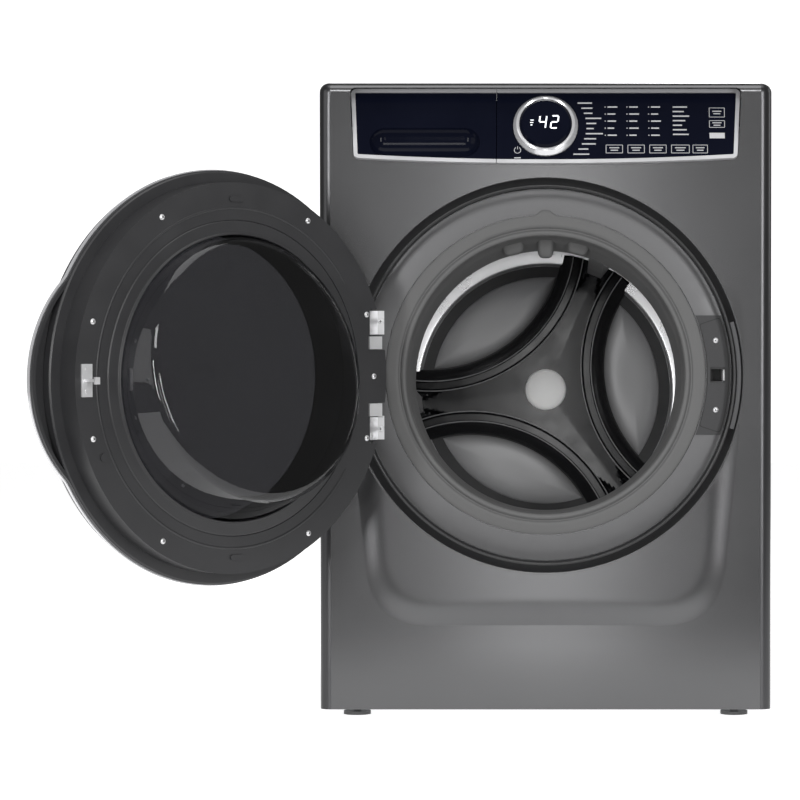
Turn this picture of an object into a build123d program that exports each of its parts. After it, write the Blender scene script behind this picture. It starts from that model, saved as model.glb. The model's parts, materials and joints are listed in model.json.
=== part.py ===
from build123d import *
import os
from math import cos, pi, radians, sin, tan

os.makedirs("parts", exist_ok=True)

# Cabinet, in mm
CAB_W = 686.0
CAB_D = 736.0
CAB_H = 965.0
BASE_Z = 14.0
SHEET = 1.6
EDGE_R = 17.0
TOP_R = 15.0
TOP_T = 25.0
HALF = CAB_W / 2
FRONT = -CAB_D / 2
REAR = CAB_D / 2
FACE_HALF = HALF - EDGE_R
TOP_FRONT = FRONT + 38.0
WALL_TOP = CAB_H - TOP_T

# Round door opening
DISH_R = HALF - 43.0
MOUTH_Z = CAB_H - 143.0 - DISH_R
DISH_DEPTH = 30.0
PLATE_Y = FRONT + DISH_DEPTH
MOUTH_R = DISH_R - 62.0
RING_R = DISH_R - 16.5

# Levelling feet
FOOT_X = HALF - 53.0
FOOT_Y = REAR - 68.0
PAD_R = 21.0
STEM_R = 6.0
FIT = 0.05

# Console, leaning back
CON_TILT = 20.0
CON_Z = CAB_H - 65.5
CON_Y = FRONT + 12.0
CON_W = CAB_W - 94.0
CON_H = 122.0
CON_TRIM = 6.0
CON_SPLIT = -74.5
SPLIT_GAP = 0.5
TRIM_T = 6.5
HOUSING_X0 = CON_SPLIT + 16.5
HOUSING_X1 = CON_W / 2 - 14.0
HOUSING_X = (HOUSING_X0 + HOUSING_X1) / 2
HOUSING_W = HOUSING_X1 - HOUSING_X0
HOUSING_H = 66.0
BOARD_V = -12.0
KNOB_R = 49.0
KNOB_BORE = 40.0
KNOB_H = 15.5

# Drawer
TRAY_L = 230.0
TRAY_Y = FRONT + 46.0
TRAY_X0 = 10.0 - CON_W / 2
TRAY_X1 = CON_SPLIT - 13.5
TRAY_X = (TRAY_X0 + TRAY_X1) / 2
TRAY_W = TRAY_X1 - TRAY_X0
TRAY_Z0 = CON_Z - 43.5
TRAY_Z1 = CON_Z + 16.5
CELL = TRAY_W / 3
CELL_WALL = 4.0
SCOOP_R = 27.0
SCOOP_HALF = TRAY_W / 2 - 39.0
SCOOP_SKIN = SCOOP_R + 3.0

# Door and hinge
DOOR_ANGLE = 137.0
HINGE_X = 22.0 - DISH_R
HINGE_Y = FRONT - 30.0
RIM_N = -17.0
DOOR_R = DISH_R
FRAME_R = DISH_R - 18.0
FRAME_HOLE = DISH_R - 72.0
FRAME_N = -36.6
FRAME_T = 3.0
SCREW_R = DISH_R - 35.5
BOWL_R = DISH_R - 93.0
BOWL_T = 4.0
BOWL_DEPTH = 60.0
BOWL_SLANT = 11.0
BOWL_DRAFT = 20.0
BOWL_END = -160.0
WINDOW_R = DISH_R - 88.0
WINDOW_N = 40.5
PIN_R = 4.0
HINGE_V = 80.5
LOBE_C = 132.4
LOBE_R = DISH_R - 106.4

# Latch, hinge brackets and the screws on the dish plate
ARM_W = -RIM_N - FRAME_N
LATCH_X = DISH_R - 38.0
PAWL_X = LATCH_X + 10.8
PAWL_Y = PLATE_Y + 36.0
PAWL_PIN = 2.0
STRIKE_X = LATCH_X + 1.0
LATCH_SCREWS = [(LATCH_X - 2.5, MOUTH_Z + 53), (LATCH_X - 2.5, MOUTH_Z - 53)]
BRACKET_X = 45.0 - DISH_R
BRACKET_SCREWS = [(BRACKET_X + 3.5, MOUTH_Z + 82), (BRACKET_X + 3.5, MOUTH_Z - 82)]
PLATE_SCREW_R = 2.2

# Tub and drum, tilted down to the back
TILT = 3.8
NECK_R = MOUTH_R - 12.0
NECK_S = 72.0
FACE_S = 88.0
TUB_R = DISH_R
TUB_T = 3.0
DRUM_R = TUB_R - 30.0
DRUM_T = 2.0
DRUM_FRONT = 106.0
DRUM_BACK = CAB_D - 231.0
TUB_SPLIT = DRUM_BACK - 175.0
TUB_BACK = DRUM_BACK + 53.0
STAR_R = DRUM_R - 42.0
STAR_TURN = 67.0
STAR_H = 24.0
PETAL_C = STAR_R + 90.0
PETAL_R = STAR_R - 10.0
PETAL_H = 14.0
SHAFT_R = 20.0
BEARING_R = 36.0
PULLEY_R = 150.0
MOTOR_R = 62.0
MOTOR_DROP = TUB_R + MOTOR_R
MOTOR_TURN = 45.0
MOTOR_PULLEY_R = 22.0
ARBOR_R = 7.0
BELT_S = DRUM_BACK + 96.0
BELT_T = 4.0
BELT_W = 14.0

# Openings and fittings of the rear panel
COVER_Z = MOUTH_Z - 42.0
COVER_HOLE_R = 170.0
BOLT_PITCH_X = 320.0
BOLT_PITCH_Z = 400.0
BOLT_R = 11.0
INLETS = [(HALF - 143, CAB_H - 65), (HALF - 88, CAB_H - 65)]
INLET_R = 13.2
INLET_BORE = 9.0
INLET_L = 20.4
INLET_HOLE = 14.0
DRAIN = (113 - HALF, CAB_H - 125)
DRAIN_R = 11.0
DRAIN_BORE = 8.5
DRAIN_L = 36.4
DRAIN_HOLE = 12.5
CORD = (HALF - 193, 70)
CORD_BORE = 4.5
CORD_HOLE = 9.0

# Drain pump and its sump hose
PUMP_X = TUB_R - 130.0
PUMP_Y = FRONT + 60.0
PUMP_Z = 62.0
PUMP_R = 34.0
HOSE_Y = FRONT + 140.0
HOSE_R = 19.0
HOSE_BORE = 15.0

# Suspension
DAMPER_X = TUB_R - 110.0
DAMPER_Y = -80.0
LUG_Z = MOUTH_Z - TUB_R + 14.0
SPRING_X = TUB_R * 5 / 6
SPRING_Y = 60.0
SPRING_Z0 = MOUTH_Z + 0.56 * TUB_R
SPRING_Z1 = WALL_TOP - 80.0
COIL_R = 14.0
COIL_TURNS = 12
WIRE_R = 2.5
SPRING_SEAT = 7.0

CON_N = Vector(0, -cos(radians(CON_TILT)), sin(radians(CON_TILT)))
CON = Plane(origin=(0, CON_Y, CON_Z), x_dir=(1, 0, 0), z_dir=CON_N)
CON_SEC = Plane(origin=(0, CON_Y, CON_Z), x_dir=(1, 0, 0), z_dir=CON.x_dir.cross(CON_N))
CON_AXIS = Axis((0, CON_Y, CON_Z), CON_N)

SCOOP = Plane(origin=CON.from_local_coords(Vector(TRAY_X + 4, -26, 13)), x_dir=(1, 0, 0), z_dir=CON_N)

MOUTH_SEC = Plane(origin=(0, 0, MOUTH_Z), x_dir=(1, 0, 0), z_dir=(0, 0, 1))
MOUTH_AXIS = Axis((0, 0, MOUTH_Z), (0, 1, 0))

COS_A = cos(radians(DOOR_ANGLE))
SIN_A = sin(radians(DOOR_ANGLE))
DOOR_C = -HINGE_X
HINGE_O = (HINGE_X, HINGE_Y, MOUTH_Z)
HINGE = Plane(origin=HINGE_O, x_dir=(COS_A, -SIN_A, 0), z_dir=(-SIN_A, -COS_A, 0))
DOOR = HINGE.offset(RIM_N)
DOOR_MID = DOOR.from_local_coords(Vector(DOOR_C, 0, 0))
DOOR_SEC = Plane(origin=DOOR_MID, x_dir=DOOR.x_dir, z_dir=(0, 0, -1))
DOOR_AXIS = Axis(DOOR_MID, DOOR.z_dir)

DOOR_SCREWS = [(34, 92), (20, 0), (34, -92)]
for a in (60, -60, 120, -120, 18, -18):
    DOOR_SCREWS.append((DOOR_C + SCREW_R * cos(radians(a)), SCREW_R * sin(radians(a))))
BOWL_TIP_R = BOWL_R - (FRAME_N + FRAME_T - BOWL_END) * tan(radians(BOWL_DRAFT))
BOWL_CUT = Plane(
    origin=DOOR.from_local_coords(Vector(DOOR_C, 0, FRAME_N - BOWL_DEPTH)),
    x_dir=DOOR.x_dir,
    z_dir=DOOR.z_dir * cos(radians(BOWL_SLANT)) - DOOR.y_dir * sin(radians(BOWL_SLANT)),
)

CASE_SCREWS = []
for row in range(5):
    CASE_SCREWS.append((18 - HALF, 60 + row * (CAB_H - 105) / 4))
    CASE_SCREWS.append((HALF - 18, 60 + row * (CAB_H - 105) / 4))

BACK = Vector(0, cos(radians(TILT)), -sin(radians(TILT)))
TUB_O = Vector(0, PLATE_Y, MOUTH_Z)
TUB = Plane(origin=TUB_O, x_dir=(1, 0, 0), z_dir=BACK)
TUB_SEC = Plane(origin=TUB_O, x_dir=(1, 0, 0), z_dir=Vector(1, 0, 0).cross(BACK))
DRIVE_X = TUB.x_dir * cos(radians(MOTOR_TURN)) + TUB.y_dir * sin(radians(MOTOR_TURN))
DRIVE = Plane(origin=TUB_O, x_dir=DRIVE_X, z_dir=BACK)
TUB_AXIS = Axis(TUB_O, BACK)


def wall(y):
    return Plane.XZ.offset(-y)


def depth_in_door(shape):
    return DOOR.to_local_coords(shape.center()).Z


def coil_point(x, turn_angle, radius):
    climb = (SPRING_Z1 - SPRING_Z0 - SPRING_SEAT) / (2 * pi * COIL_TURNS)
    base = Vector(x, SPRING_Y, SPRING_Z0 + SPRING_SEAT / 2)
    return base + Vector(radius * cos(turn_angle), radius * sin(turn_angle), climb * turn_angle)


def coil_tangent(x, turn_angle):
    ahead = coil_point(x, turn_angle + 0.001, COIL_R)
    return (ahead - coil_point(x, turn_angle - 0.001, COIL_R)).normalized()


# Two arcs that share a tangent follow each half turn of a spring
def coil_arcs(x, half):
    first = half * pi
    middle = first + pi / 2
    start = coil_point(x, first, COIL_R)
    leave = coil_tangent(x, first)
    outward = Vector(cos(middle), sin(middle), 0)
    low, high = 0.8 * COIL_R, 1.2 * COIL_R
    for _ in range(40):
        joint = coil_point(x, middle, (low + high) / 2)
        chord = (joint - start).normalized()
        meet = chord * (2 * leave.dot(chord)) - leave
        if meet.dot(outward) > 0:
            high = (low + high) / 2
        else:
            low = (low + high) / 2
    return start, joint, coil_point(x, first + pi, COIL_R), leave, meet


# Console outline: sides lean in, lower edge bows down
with BuildSketch(CON) as trim_outline:
    with BuildLine():
        low_right = Vector(CON_W / 2 - 6, 9 - CON_H / 2)
        low_left = Vector(-low_right.X, low_right.Y)
        Polyline(low_right, (CON_W / 2, CON_H / 2), (-CON_W / 2, CON_H / 2), low_left)
        ThreePointArc(low_left, (0, -CON_H / 2), low_right)
    make_face()
    fillet(trim_outline.vertices(), radius=8)

with BuildSketch(CON) as panel_outline:
    add(trim_outline.sketch_local)
    offset(amount=-CON_TRIM, mode=Mode.REPLACE)

with BuildSketch(CON) as cut_outline:
    add(trim_outline.sketch_local)
    offset(amount=1.0, mode=Mode.REPLACE)

# Door outline: a circle with the handle lobe on the free side
with BuildSketch(DOOR) as door_outline:
    with Locations((DOOR_C, 0)):
        Circle(DOOR_R)
    with Locations((DOOR_C + LOBE_C, 0)):
        Circle(LOBE_R)
    fillet(door_outline.vertices().filter_by(lambda v: abs(v.Y) > 50), radius=60)

# Base pan with four foot bosses
with BuildPart() as base_pan:
    with BuildSketch(Plane.XY.offset(BASE_Z)) as pan_outline:
        Rectangle(CAB_W - 2 * SHEET, CAB_D - 2 * SHEET)
        fillet(pan_outline.vertices().filter_by(lambda v: v.Y < 0), radius=EDGE_R)
    extrude(amount=34)
    with BuildSketch(Plane.XY.offset(BASE_Z + 2)):
        add(pan_outline.sketch_local)
        offset(amount=-2, mode=Mode.REPLACE)
    extrude(amount=32, mode=Mode.SUBTRACT)
    with BuildSketch(Plane.XY.offset(BASE_Z)):
        with GridLocations(2 * FOOT_X, 2 * FOOT_Y, 2, 2):
            Circle(16)
    extrude(amount=14)
    with BuildSketch(Plane.XY.offset(BASE_Z)):
        with GridLocations(2 * FOOT_X, 2 * FOOT_Y, 2, 2):
            Circle(STEM_R + FIT)
    extrude(amount=14, mode=Mode.SUBTRACT)
base_pan.part.label = "base_pan"
export_step(base_pan.part, "parts/base_pan.step")

# Side panels, wrapped round the front edge and closed by a rounded top corner
with BuildPart() as side_panel_left:
    with BuildSketch(Plane.XY.offset(BASE_Z)):
        with BuildLine():
            FilletPolyline(
                (-HALF + SHEET / 2, REAR),
                (-HALF + SHEET / 2, FRONT + SHEET / 2),
                (-FACE_HALF, FRONT + SHEET / 2),
                radius=EDGE_R - SHEET / 2 - 0.4,
            )
        trace(line_width=SHEET)
    extrude(amount=WALL_TOP - BASE_Z)
    with BuildSketch(Plane.XY.offset(WALL_TOP - 10)):
        with BuildLine():
            Line((-FACE_HALF, TOP_FRONT), (-HALF, TOP_FRONT))
            Line((-HALF, TOP_FRONT), (-HALF, FRONT + EDGE_R))
            RadiusArc((-HALF, FRONT + EDGE_R), (-FACE_HALF, FRONT), -EDGE_R)
            Line((-FACE_HALF, FRONT), (-FACE_HALF, TOP_FRONT))
        make_face()
    extrude(amount=TOP_T + 10)
    top_edges = side_panel_left.edges().filter_by_position(Axis.Z, CAB_H - 0.01, CAB_H + 0.01)
    outer_edges = top_edges.filter_by(lambda e: e.center().X < -FACE_HALF - 1)
    fillet(outer_edges.filter_by(lambda e: e.center().Y < TOP_FRONT - 1), radius=TOP_R - 1)
side_panel_left.part.label = "side_panel_left"
export_step(side_panel_left.part, "parts/side_panel_left.step")

with BuildPart() as side_panel_right:
    add(mirror(side_panel_left.part, about=Plane.YZ))
side_panel_right.part.label = "side_panel_right"
export_step(side_panel_right.part, "parts/side_panel_right.step")

# Rear panel with the service opening and its round cover
with BuildPart() as rear_panel:
    with BuildSketch(wall(REAR)):
        with Locations((0, (BASE_Z + WALL_TOP) / 2)):
            Rectangle(CAB_W - 2 * SHEET, WALL_TOP - BASE_Z)
        with Locations((0, COVER_Z)):
            Circle(COVER_HOLE_R, mode=Mode.SUBTRACT)
        with Locations(*INLETS):
            Circle(INLET_HOLE, mode=Mode.SUBTRACT)
        with Locations(DRAIN):
            Circle(DRAIN_HOLE, mode=Mode.SUBTRACT)
        with Locations(CORD):
            Circle(CORD_HOLE, mode=Mode.SUBTRACT)
        with Locations((0, COVER_Z)):
            with GridLocations(BOLT_PITCH_X, BOLT_PITCH_Z, 2, 2):
                Circle(BOLT_R, mode=Mode.SUBTRACT)
    extrude(amount=SHEET)
rear_panel.part.label = "rear_panel"
export_step(rear_panel.part, "parts/rear_panel.step")

with BuildPart() as rear_access_cover:
    with BuildSketch(wall(REAR)):
        with Locations((0, COVER_Z)):
            Circle(COVER_HOLE_R + 14)
    extrude(amount=-2)
    with BuildSketch(wall(REAR + 2)):
        with Locations((0, COVER_Z)):
            Circle(COVER_HOLE_R - 30)
    extrude(amount=-4, taper=30)
    with BuildSketch(wall(REAR)):
        with Locations((0, COVER_Z)):
            Circle(COVER_HOLE_R - 32)
    extrude(amount=-4, taper=30, mode=Mode.SUBTRACT)
rear_access_cover.part.label = "rear_access_cover"
export_step(rear_access_cover.part, "parts/rear_access_cover.step")

with BuildPart() as transit_bolt_caps:
    with BuildSketch(wall(REAR)):
        with Locations((0, COVER_Z)):
            with GridLocations(BOLT_PITCH_X, BOLT_PITCH_Z, 2, 2):
                Circle(BOLT_R + 6)
    extrude(amount=-4)
    with BuildSketch(wall(REAR)):
        with Locations((0, COVER_Z)):
            with GridLocations(BOLT_PITCH_X, BOLT_PITCH_Z, 2, 2):
                Circle(BOLT_R)
    extrude(amount=12)
transit_bolt_caps.part.label = "transit_bolt_caps"
export_step(transit_bolt_caps.part, "parts/transit_bolt_caps.step")

with BuildPart() as cabinet_screws:
    with BuildSketch(wall(REAR)):
        with Locations(*CASE_SCREWS):
            Circle(5)
    extrude(amount=-3)
    with BuildSketch(wall(REAR + 2)):
        with Locations((0, COVER_Z)):
            with PolarLocations(COVER_HOLE_R - 8, 6, start_angle=30):
                Circle(5)
    extrude(amount=-3)
cabinet_screws.part.label = "cabinet_screws"
export_step(cabinet_screws.part, "parts/cabinet_screws.step")

# Top panel, a hollow lid with rounded side and rear edges
with BuildPart() as top_panel:
    with BuildSketch(Plane.XY.offset(WALL_TOP)):
        with Locations((0, (TOP_FRONT + REAR) / 2)):
            Rectangle(CAB_W, REAR - TOP_FRONT)
    extrude(amount=TOP_T)
    lid_edges = top_panel.edges().filter_by_position(Axis.Z, CAB_H - 0.01, CAB_H + 0.01)
    fillet(lid_edges.filter_by(lambda e: e.center().Y > TOP_FRONT + 1), radius=TOP_R - 1)
    offset(amount=-2, openings=top_panel.faces().sort_by(Axis.Z)[0])
    with BuildSketch(Plane.XY.offset(WALL_TOP)):
        with Locations((0, TOP_FRONT + 6)):
            Rectangle(CAB_W - 4, 12)
    extrude(amount=8)
top_panel.part.label = "top_panel"
export_step(top_panel.part, "parts/top_panel.step")

# Front panel: one bent sheet with the console cut-out and the round dish
with BuildPart() as front_panel:
    with BuildSketch(Plane.YZ.offset(-FACE_HALF)):
        with BuildLine():
            FilletPolyline(
                (FRONT + SHEET / 2, BASE_Z),
                (FRONT + SHEET / 2, CAB_H - SHEET / 2),
                (TOP_FRONT, CAB_H - SHEET / 2),
                radius=TOP_R - SHEET / 2,
            )
        trace(line_width=SHEET)
    extrude(amount=2 * FACE_HALF)
    with BuildSketch(CON):
        add(cut_outline.sketch_local)
    extrude(amount=80, dir=(0, 1, 0), both=True, mode=Mode.SUBTRACT)
    with BuildSketch(wall(FRONT + 60)):
        with Locations((0, MOUTH_Z)):
            Circle(DISH_R)
    extrude(amount=80, mode=Mode.SUBTRACT)
    with BuildSketch(MOUTH_SEC):
        with BuildLine():
            Polyline(
                (DISH_R, FRONT),
                (DISH_R + SHEET, FRONT),
                (DISH_R + SHEET, PLATE_Y + SHEET),
                (MOUTH_R, PLATE_Y + SHEET),
                (MOUTH_R, PLATE_Y),
                (DISH_R, PLATE_Y),
                close=True,
            )
        make_face()
    revolve(axis=MOUTH_AXIS)
    with BuildSketch(wall(PLATE_Y + SHEET + 1)):
        with Locations((LATCH_X, MOUTH_Z)):
            Rectangle(24, 26)
    extrude(amount=6, mode=Mode.SUBTRACT)
front_panel.part.label = "front_panel"
export_step(front_panel.part, "parts/front_panel.step")

with BuildPart() as door_surround_ring:
    with BuildSketch(MOUTH_SEC):
        with BuildLine():
            Polyline(
                (DISH_R, FRONT),
                (DISH_R - 0.8, FRONT),
                (RING_R, FRONT + 27),
                (RING_R, PLATE_Y),
                (DISH_R, PLATE_Y),
                close=True,
            )
        make_face()
    revolve(axis=MOUTH_AXIS)
door_surround_ring.part.label = "door_surround_ring"
export_step(door_surround_ring.part, "parts/door_surround_ring.step")

# Levelling feet, each a pad on a stem
with BuildPart() as foot_front_left:
    with BuildSketch(Plane.XY):
        with Locations((-FOOT_X, -FOOT_Y)):
            Circle(PAD_R)
    extrude(amount=5)
    with BuildSketch(Plane.XY):
        with Locations((-FOOT_X, -FOOT_Y)):
            Circle(STEM_R)
    extrude(amount=46)
foot_front_left.part.label = "foot_front_left"
export_step(foot_front_left.part, "parts/foot_front_left.step")

with BuildPart() as foot_front_right:
    add(mirror(foot_front_left.part, about=Plane.YZ))
foot_front_right.part.label = "foot_front_right"
export_step(foot_front_right.part, "parts/foot_front_right.step")

with BuildPart() as foot_rear_left:
    add(mirror(foot_front_left.part, about=Plane.XZ))
foot_rear_left.part.label = "foot_rear_left"
export_step(foot_rear_left.part, "parts/foot_rear_left.step")

with BuildPart() as foot_rear_right:
    add(mirror(foot_front_right.part, about=Plane.XZ))
foot_rear_right.part.label = "foot_rear_right"
export_step(foot_rear_right.part, "parts/foot_rear_right.step")

with BuildPart() as foot_lock_nuts:
    with BuildSketch(Plane.XY.offset(BASE_Z + 14)):
        with GridLocations(2 * FOOT_X, 2 * FOOT_Y, 2, 2):
            RegularPolygon(10, 6)
            Circle(STEM_R + FIT, mode=Mode.SUBTRACT)
    extrude(amount=7)
foot_lock_nuts.part.label = "foot_lock_nuts"
export_step(foot_lock_nuts.part, "parts/foot_lock_nuts.step")

# Console: dark plate with a hollow housing behind it
with BuildPart() as console_panel:
    with BuildSketch(CON.offset(-3)):
        with Locations((HOUSING_X, BOARD_V)):
            Rectangle(HOUSING_W, HOUSING_H)
            Rectangle(HOUSING_W - 4, HOUSING_H - 4, mode=Mode.SUBTRACT)
    extrude(amount=-24)
    with BuildSketch(Plane.XY.offset(WALL_TOP)):
        with Locations((HOUSING_X, TOP_FRONT + 6)):
            Rectangle(HOUSING_W, 12)
    extrude(amount=-42)
    with BuildSketch(CON.offset(-3)):
        Rectangle(2 * CAB_W, 3 * CON_H)
    extrude(amount=60, mode=Mode.SUBTRACT)
    with BuildSketch(CON):
        add(panel_outline.sketch_local)
        with Locations((CON_SPLIT + SPLIT_GAP + CON_W / 2, 0)):
            Rectangle(CON_W, 2 * CON_H, mode=Mode.INTERSECT)
    extrude(amount=-3)
console_panel.part.label = "console_panel"
export_step(console_panel.part, "parts/console_panel.step")

with BuildPart() as console_trim:
    with BuildSketch(CON.offset(-4)):
        add(trim_outline.sketch_local)
        add(panel_outline.sketch_local, mode=Mode.SUBTRACT)
        with Locations((CON_SPLIT + SPLIT_GAP + CON_W / 2, 0)):
            Rectangle(CON_W, 2 * CON_H, mode=Mode.INTERSECT)
    extrude(amount=TRIM_T)
console_trim.part.label = "console_trim"
export_step(console_trim.part, "parts/console_trim.step")

with BuildPart() as control_board:
    with BuildSketch(CON.offset(-12)):
        with Locations((HOUSING_X, BOARD_V)):
            Rectangle(HOUSING_W - 4, HOUSING_H - 4)
    extrude(amount=-1.6)
    with BuildSketch(CON.offset(-13.6)):
        with Locations((HOUSING_X, BOARD_V)):
            with GridLocations(HOUSING_W / 5, 0, 4, 1):
                Rectangle(26, 18)
    extrude(amount=-6)
control_board.part.label = "control_board"
export_step(control_board.part, "parts/control_board.step")

# Selector: fixed bezel and lens inside a turning ring
with BuildPart() as display_bezel:
    with BuildSketch(CON_SEC):
        with BuildLine():
            Polyline(
                (0, 0),
                (KNOB_BORE - 0.3, 0),
                (KNOB_BORE - 0.3, 11),
                (36, KNOB_H),
                (34.5, KNOB_H),
                (34.5, KNOB_H - 2.5),
                (0, KNOB_H - 2.5),
                close=True,
            )
        make_face()
    revolve(axis=CON_AXIS)
display_bezel.part.label = "display_bezel"
export_step(display_bezel.part, "parts/display_bezel.step")

with BuildPart() as display_lens:
    with BuildSketch(CON.offset(KNOB_H - 2.5)):
        Circle(34.5)
    extrude(amount=2.0)
display_lens.part.label = "display_lens"
export_step(display_lens.part, "parts/display_lens.step")

with BuildPart() as selector_ring:
    with BuildSketch(CON_SEC):
        with BuildLine():
            Polyline(
                (KNOB_BORE, 0.4),
                (KNOB_R, 0.4),
                (KNOB_R, 4),
                (44.5, 11.5),
                (42.5, 12.5),
                (KNOB_BORE, 11.5),
                close=True,
            )
        make_face()
    revolve(axis=CON_AXIS)
    with BuildSketch(CON.offset(4)):
        with PolarLocations(KNOB_R - 0.2, 48):
            Circle(0.7)
    extrude(amount=-3.5, mode=Mode.SUBTRACT)
selector_ring.part.label = "selector_ring"
export_step(selector_ring.part, "parts/selector_ring.step")

# Detergent drawer: hollow slanted front with a finger scoop, trim and tray
with BuildPart() as drawer_trim:
    with BuildSketch(CON.offset(-4)):
        add(trim_outline.sketch_local)
        add(panel_outline.sketch_local, mode=Mode.SUBTRACT)
        with Locations((CON_SPLIT - SPLIT_GAP - CON_W / 2, 0)):
            Rectangle(CON_W, 2 * CON_H, mode=Mode.INTERSECT)
    extrude(amount=TRIM_T)
drawer_trim.part.label = "drawer_trim"
export_step(drawer_trim.part, "parts/drawer_trim.step")

with BuildPart() as drawer_front:
    with BuildSketch(CON):
        add(panel_outline.sketch_local)
        with Locations((CON_SPLIT - SPLIT_GAP - CON_W / 2, 0)):
            Rectangle(CON_W, 2 * CON_H, mode=Mode.INTERSECT)
    extrude(amount=60, dir=(0, 1, 0))
    with BuildSketch(CON.offset(-4)):
        add(panel_outline.sketch_local)
        with Locations((CON_SPLIT - SPLIT_GAP - CON_W / 2, 0)):
            Rectangle(CON_W, 2 * CON_H, mode=Mode.INTERSECT)
        offset(amount=-4, mode=Mode.REPLACE)
    extrude(amount=90, dir=(0, 1, 0), mode=Mode.SUBTRACT)
    with BuildSketch(SCOOP):
        with BuildLine():
            Line((-SCOOP_HALF - SCOOP_SKIN, 0), (SCOOP_HALF + SCOOP_SKIN, 0))
            Polyline((SCOOP_HALF, SCOOP_SKIN), (-SCOOP_HALF, SCOOP_SKIN))
            RadiusArc((SCOOP_HALF, SCOOP_SKIN), (SCOOP_HALF + SCOOP_SKIN, 0), SCOOP_SKIN)
            RadiusArc((-SCOOP_HALF - SCOOP_SKIN, 0), (-SCOOP_HALF, SCOOP_SKIN), SCOOP_SKIN)
        make_face()
    revolve(axis=Axis(SCOOP.origin, (1, 0, 0)))
    with BuildSketch(CON):
        Rectangle(2 * CAB_W, 3 * CON_H)
    extrude(amount=60, mode=Mode.SUBTRACT)
    with BuildSketch(SCOOP):
        with BuildLine():
            Line((-SCOOP_HALF - SCOOP_R, 0), (SCOOP_HALF + SCOOP_R, 0))
            Polyline((SCOOP_HALF, SCOOP_R), (-SCOOP_HALF, SCOOP_R))
            RadiusArc((SCOOP_HALF, SCOOP_R), (SCOOP_HALF + SCOOP_R, 0), SCOOP_R)
            RadiusArc((-SCOOP_HALF - SCOOP_R, 0), (-SCOOP_HALF, SCOOP_R), SCOOP_R)
        make_face()
    revolve(axis=Axis(SCOOP.origin, (1, 0, 0)), mode=Mode.SUBTRACT)
    split(bisect_by=Plane(origin=(0, TRAY_Y, 0), z_dir=(0, 1, 0)), keep=Keep.BOTTOM)
    with BuildSketch(Plane.XY.offset(WALL_TOP - 3)):
        with Locations((TRAY_X, TOP_FRONT + 49)):
            Rectangle(TRAY_W + 90, 100)
    extrude(amount=40, mode=Mode.SUBTRACT)
    add(drawer_trim.part, mode=Mode.SUBTRACT)
drawer_front.part.label = "drawer_front"
export_step(drawer_front.part, "parts/drawer_front.step")

with BuildPart() as drawer_tray:
    with BuildSketch(Plane.XY.offset(TRAY_Z0)):
        with Locations((TRAY_X, TRAY_Y + TRAY_L / 2)):
            Rectangle(TRAY_W, TRAY_L)
    extrude(amount=TRAY_Z1 - TRAY_Z0)
    with BuildSketch(Plane.XY.offset(TRAY_Z0 + 2)):
        with Locations((TRAY_X, TRAY_Y + TRAY_L / 2)):
            with GridLocations(CELL, 0, 3, 1):
                Rectangle(CELL - CELL_WALL, TRAY_L - 6)
    extrude(amount=TRAY_Z1 - TRAY_Z0, mode=Mode.SUBTRACT)
    with BuildSketch(wall(TRAY_Y)):
        with Locations((TRAY_X + 2, CON_Z - 11)):
            Rectangle(TRAY_W + 10, 85)
    extrude(amount=-2.5)
drawer_tray.part.label = "drawer_tray"
export_step(drawer_tray.part, "parts/drawer_tray.step")

with BuildPart() as dispenser_housing:
    with BuildSketch(wall(FRONT + 49)):
        with Locations((TRAY_X, (TRAY_Z0 - 3.6 + WALL_TOP) / 2)):
            Rectangle(TRAY_W + 6, WALL_TOP - TRAY_Z0 + 3.6)
    extrude(amount=-272)
    with BuildSketch(wall(FRONT + 49)):
        with Locations((TRAY_X, (TRAY_Z0 - 0.4 + WALL_TOP - 3) / 2)):
            Rectangle(TRAY_W + 1, WALL_TOP - 3 - TRAY_Z0 + 0.4)
    extrude(amount=-269, mode=Mode.SUBTRACT)
    with BuildSketch(wall(FRONT + 321)):
        with Locations((TRAY_X, CON_Z)):
            Circle(14)
    extrude(amount=-26)
dispenser_housing.part.label = "dispenser_housing"
export_step(dispenser_housing.part, "parts/dispenser_housing.step")

# Door latch: cover, body and sprung pawl
with BuildPart() as latch_cover:
    with BuildSketch(wall(PLATE_Y)):
        with Locations((0, MOUTH_Z)):
            Circle(RING_R - 1.5)
            Circle(DISH_R - 54, mode=Mode.SUBTRACT)
        with Locations((DISH_R - 100, MOUTH_Z)):
            Rectangle(220, 182, mode=Mode.INTERSECT)
        with Locations((LATCH_X, MOUTH_Z)):
            Rectangle(22, 24, mode=Mode.SUBTRACT)
        with Locations(*LATCH_SCREWS):
            Circle(PLATE_SCREW_R, mode=Mode.SUBTRACT)
    extrude(amount=3)
latch_cover.part.label = "latch_cover"
export_step(latch_cover.part, "parts/latch_cover.step")

with BuildPart() as latch_body:
    with BuildSketch(wall(PLATE_Y + SHEET)):
        with Locations((LATCH_X + 5, MOUTH_Z)):
            Rectangle(42, 72)
    extrude(amount=-46)
    with BuildSketch(wall(PLATE_Y + SHEET)):
        with Locations((LATCH_X + 4, MOUTH_Z)):
            Rectangle(32, 18.6)
    extrude(amount=-42, mode=Mode.SUBTRACT)
    with BuildSketch(Plane.XY.offset(MOUTH_Z - 16)):
        with Locations((PAWL_X, PAWL_Y)):
            Circle(PAWL_PIN + FIT)
    extrude(amount=32, mode=Mode.SUBTRACT)
latch_body.part.label = "latch_body"
export_step(latch_body.part, "parts/latch_body.step")

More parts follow.
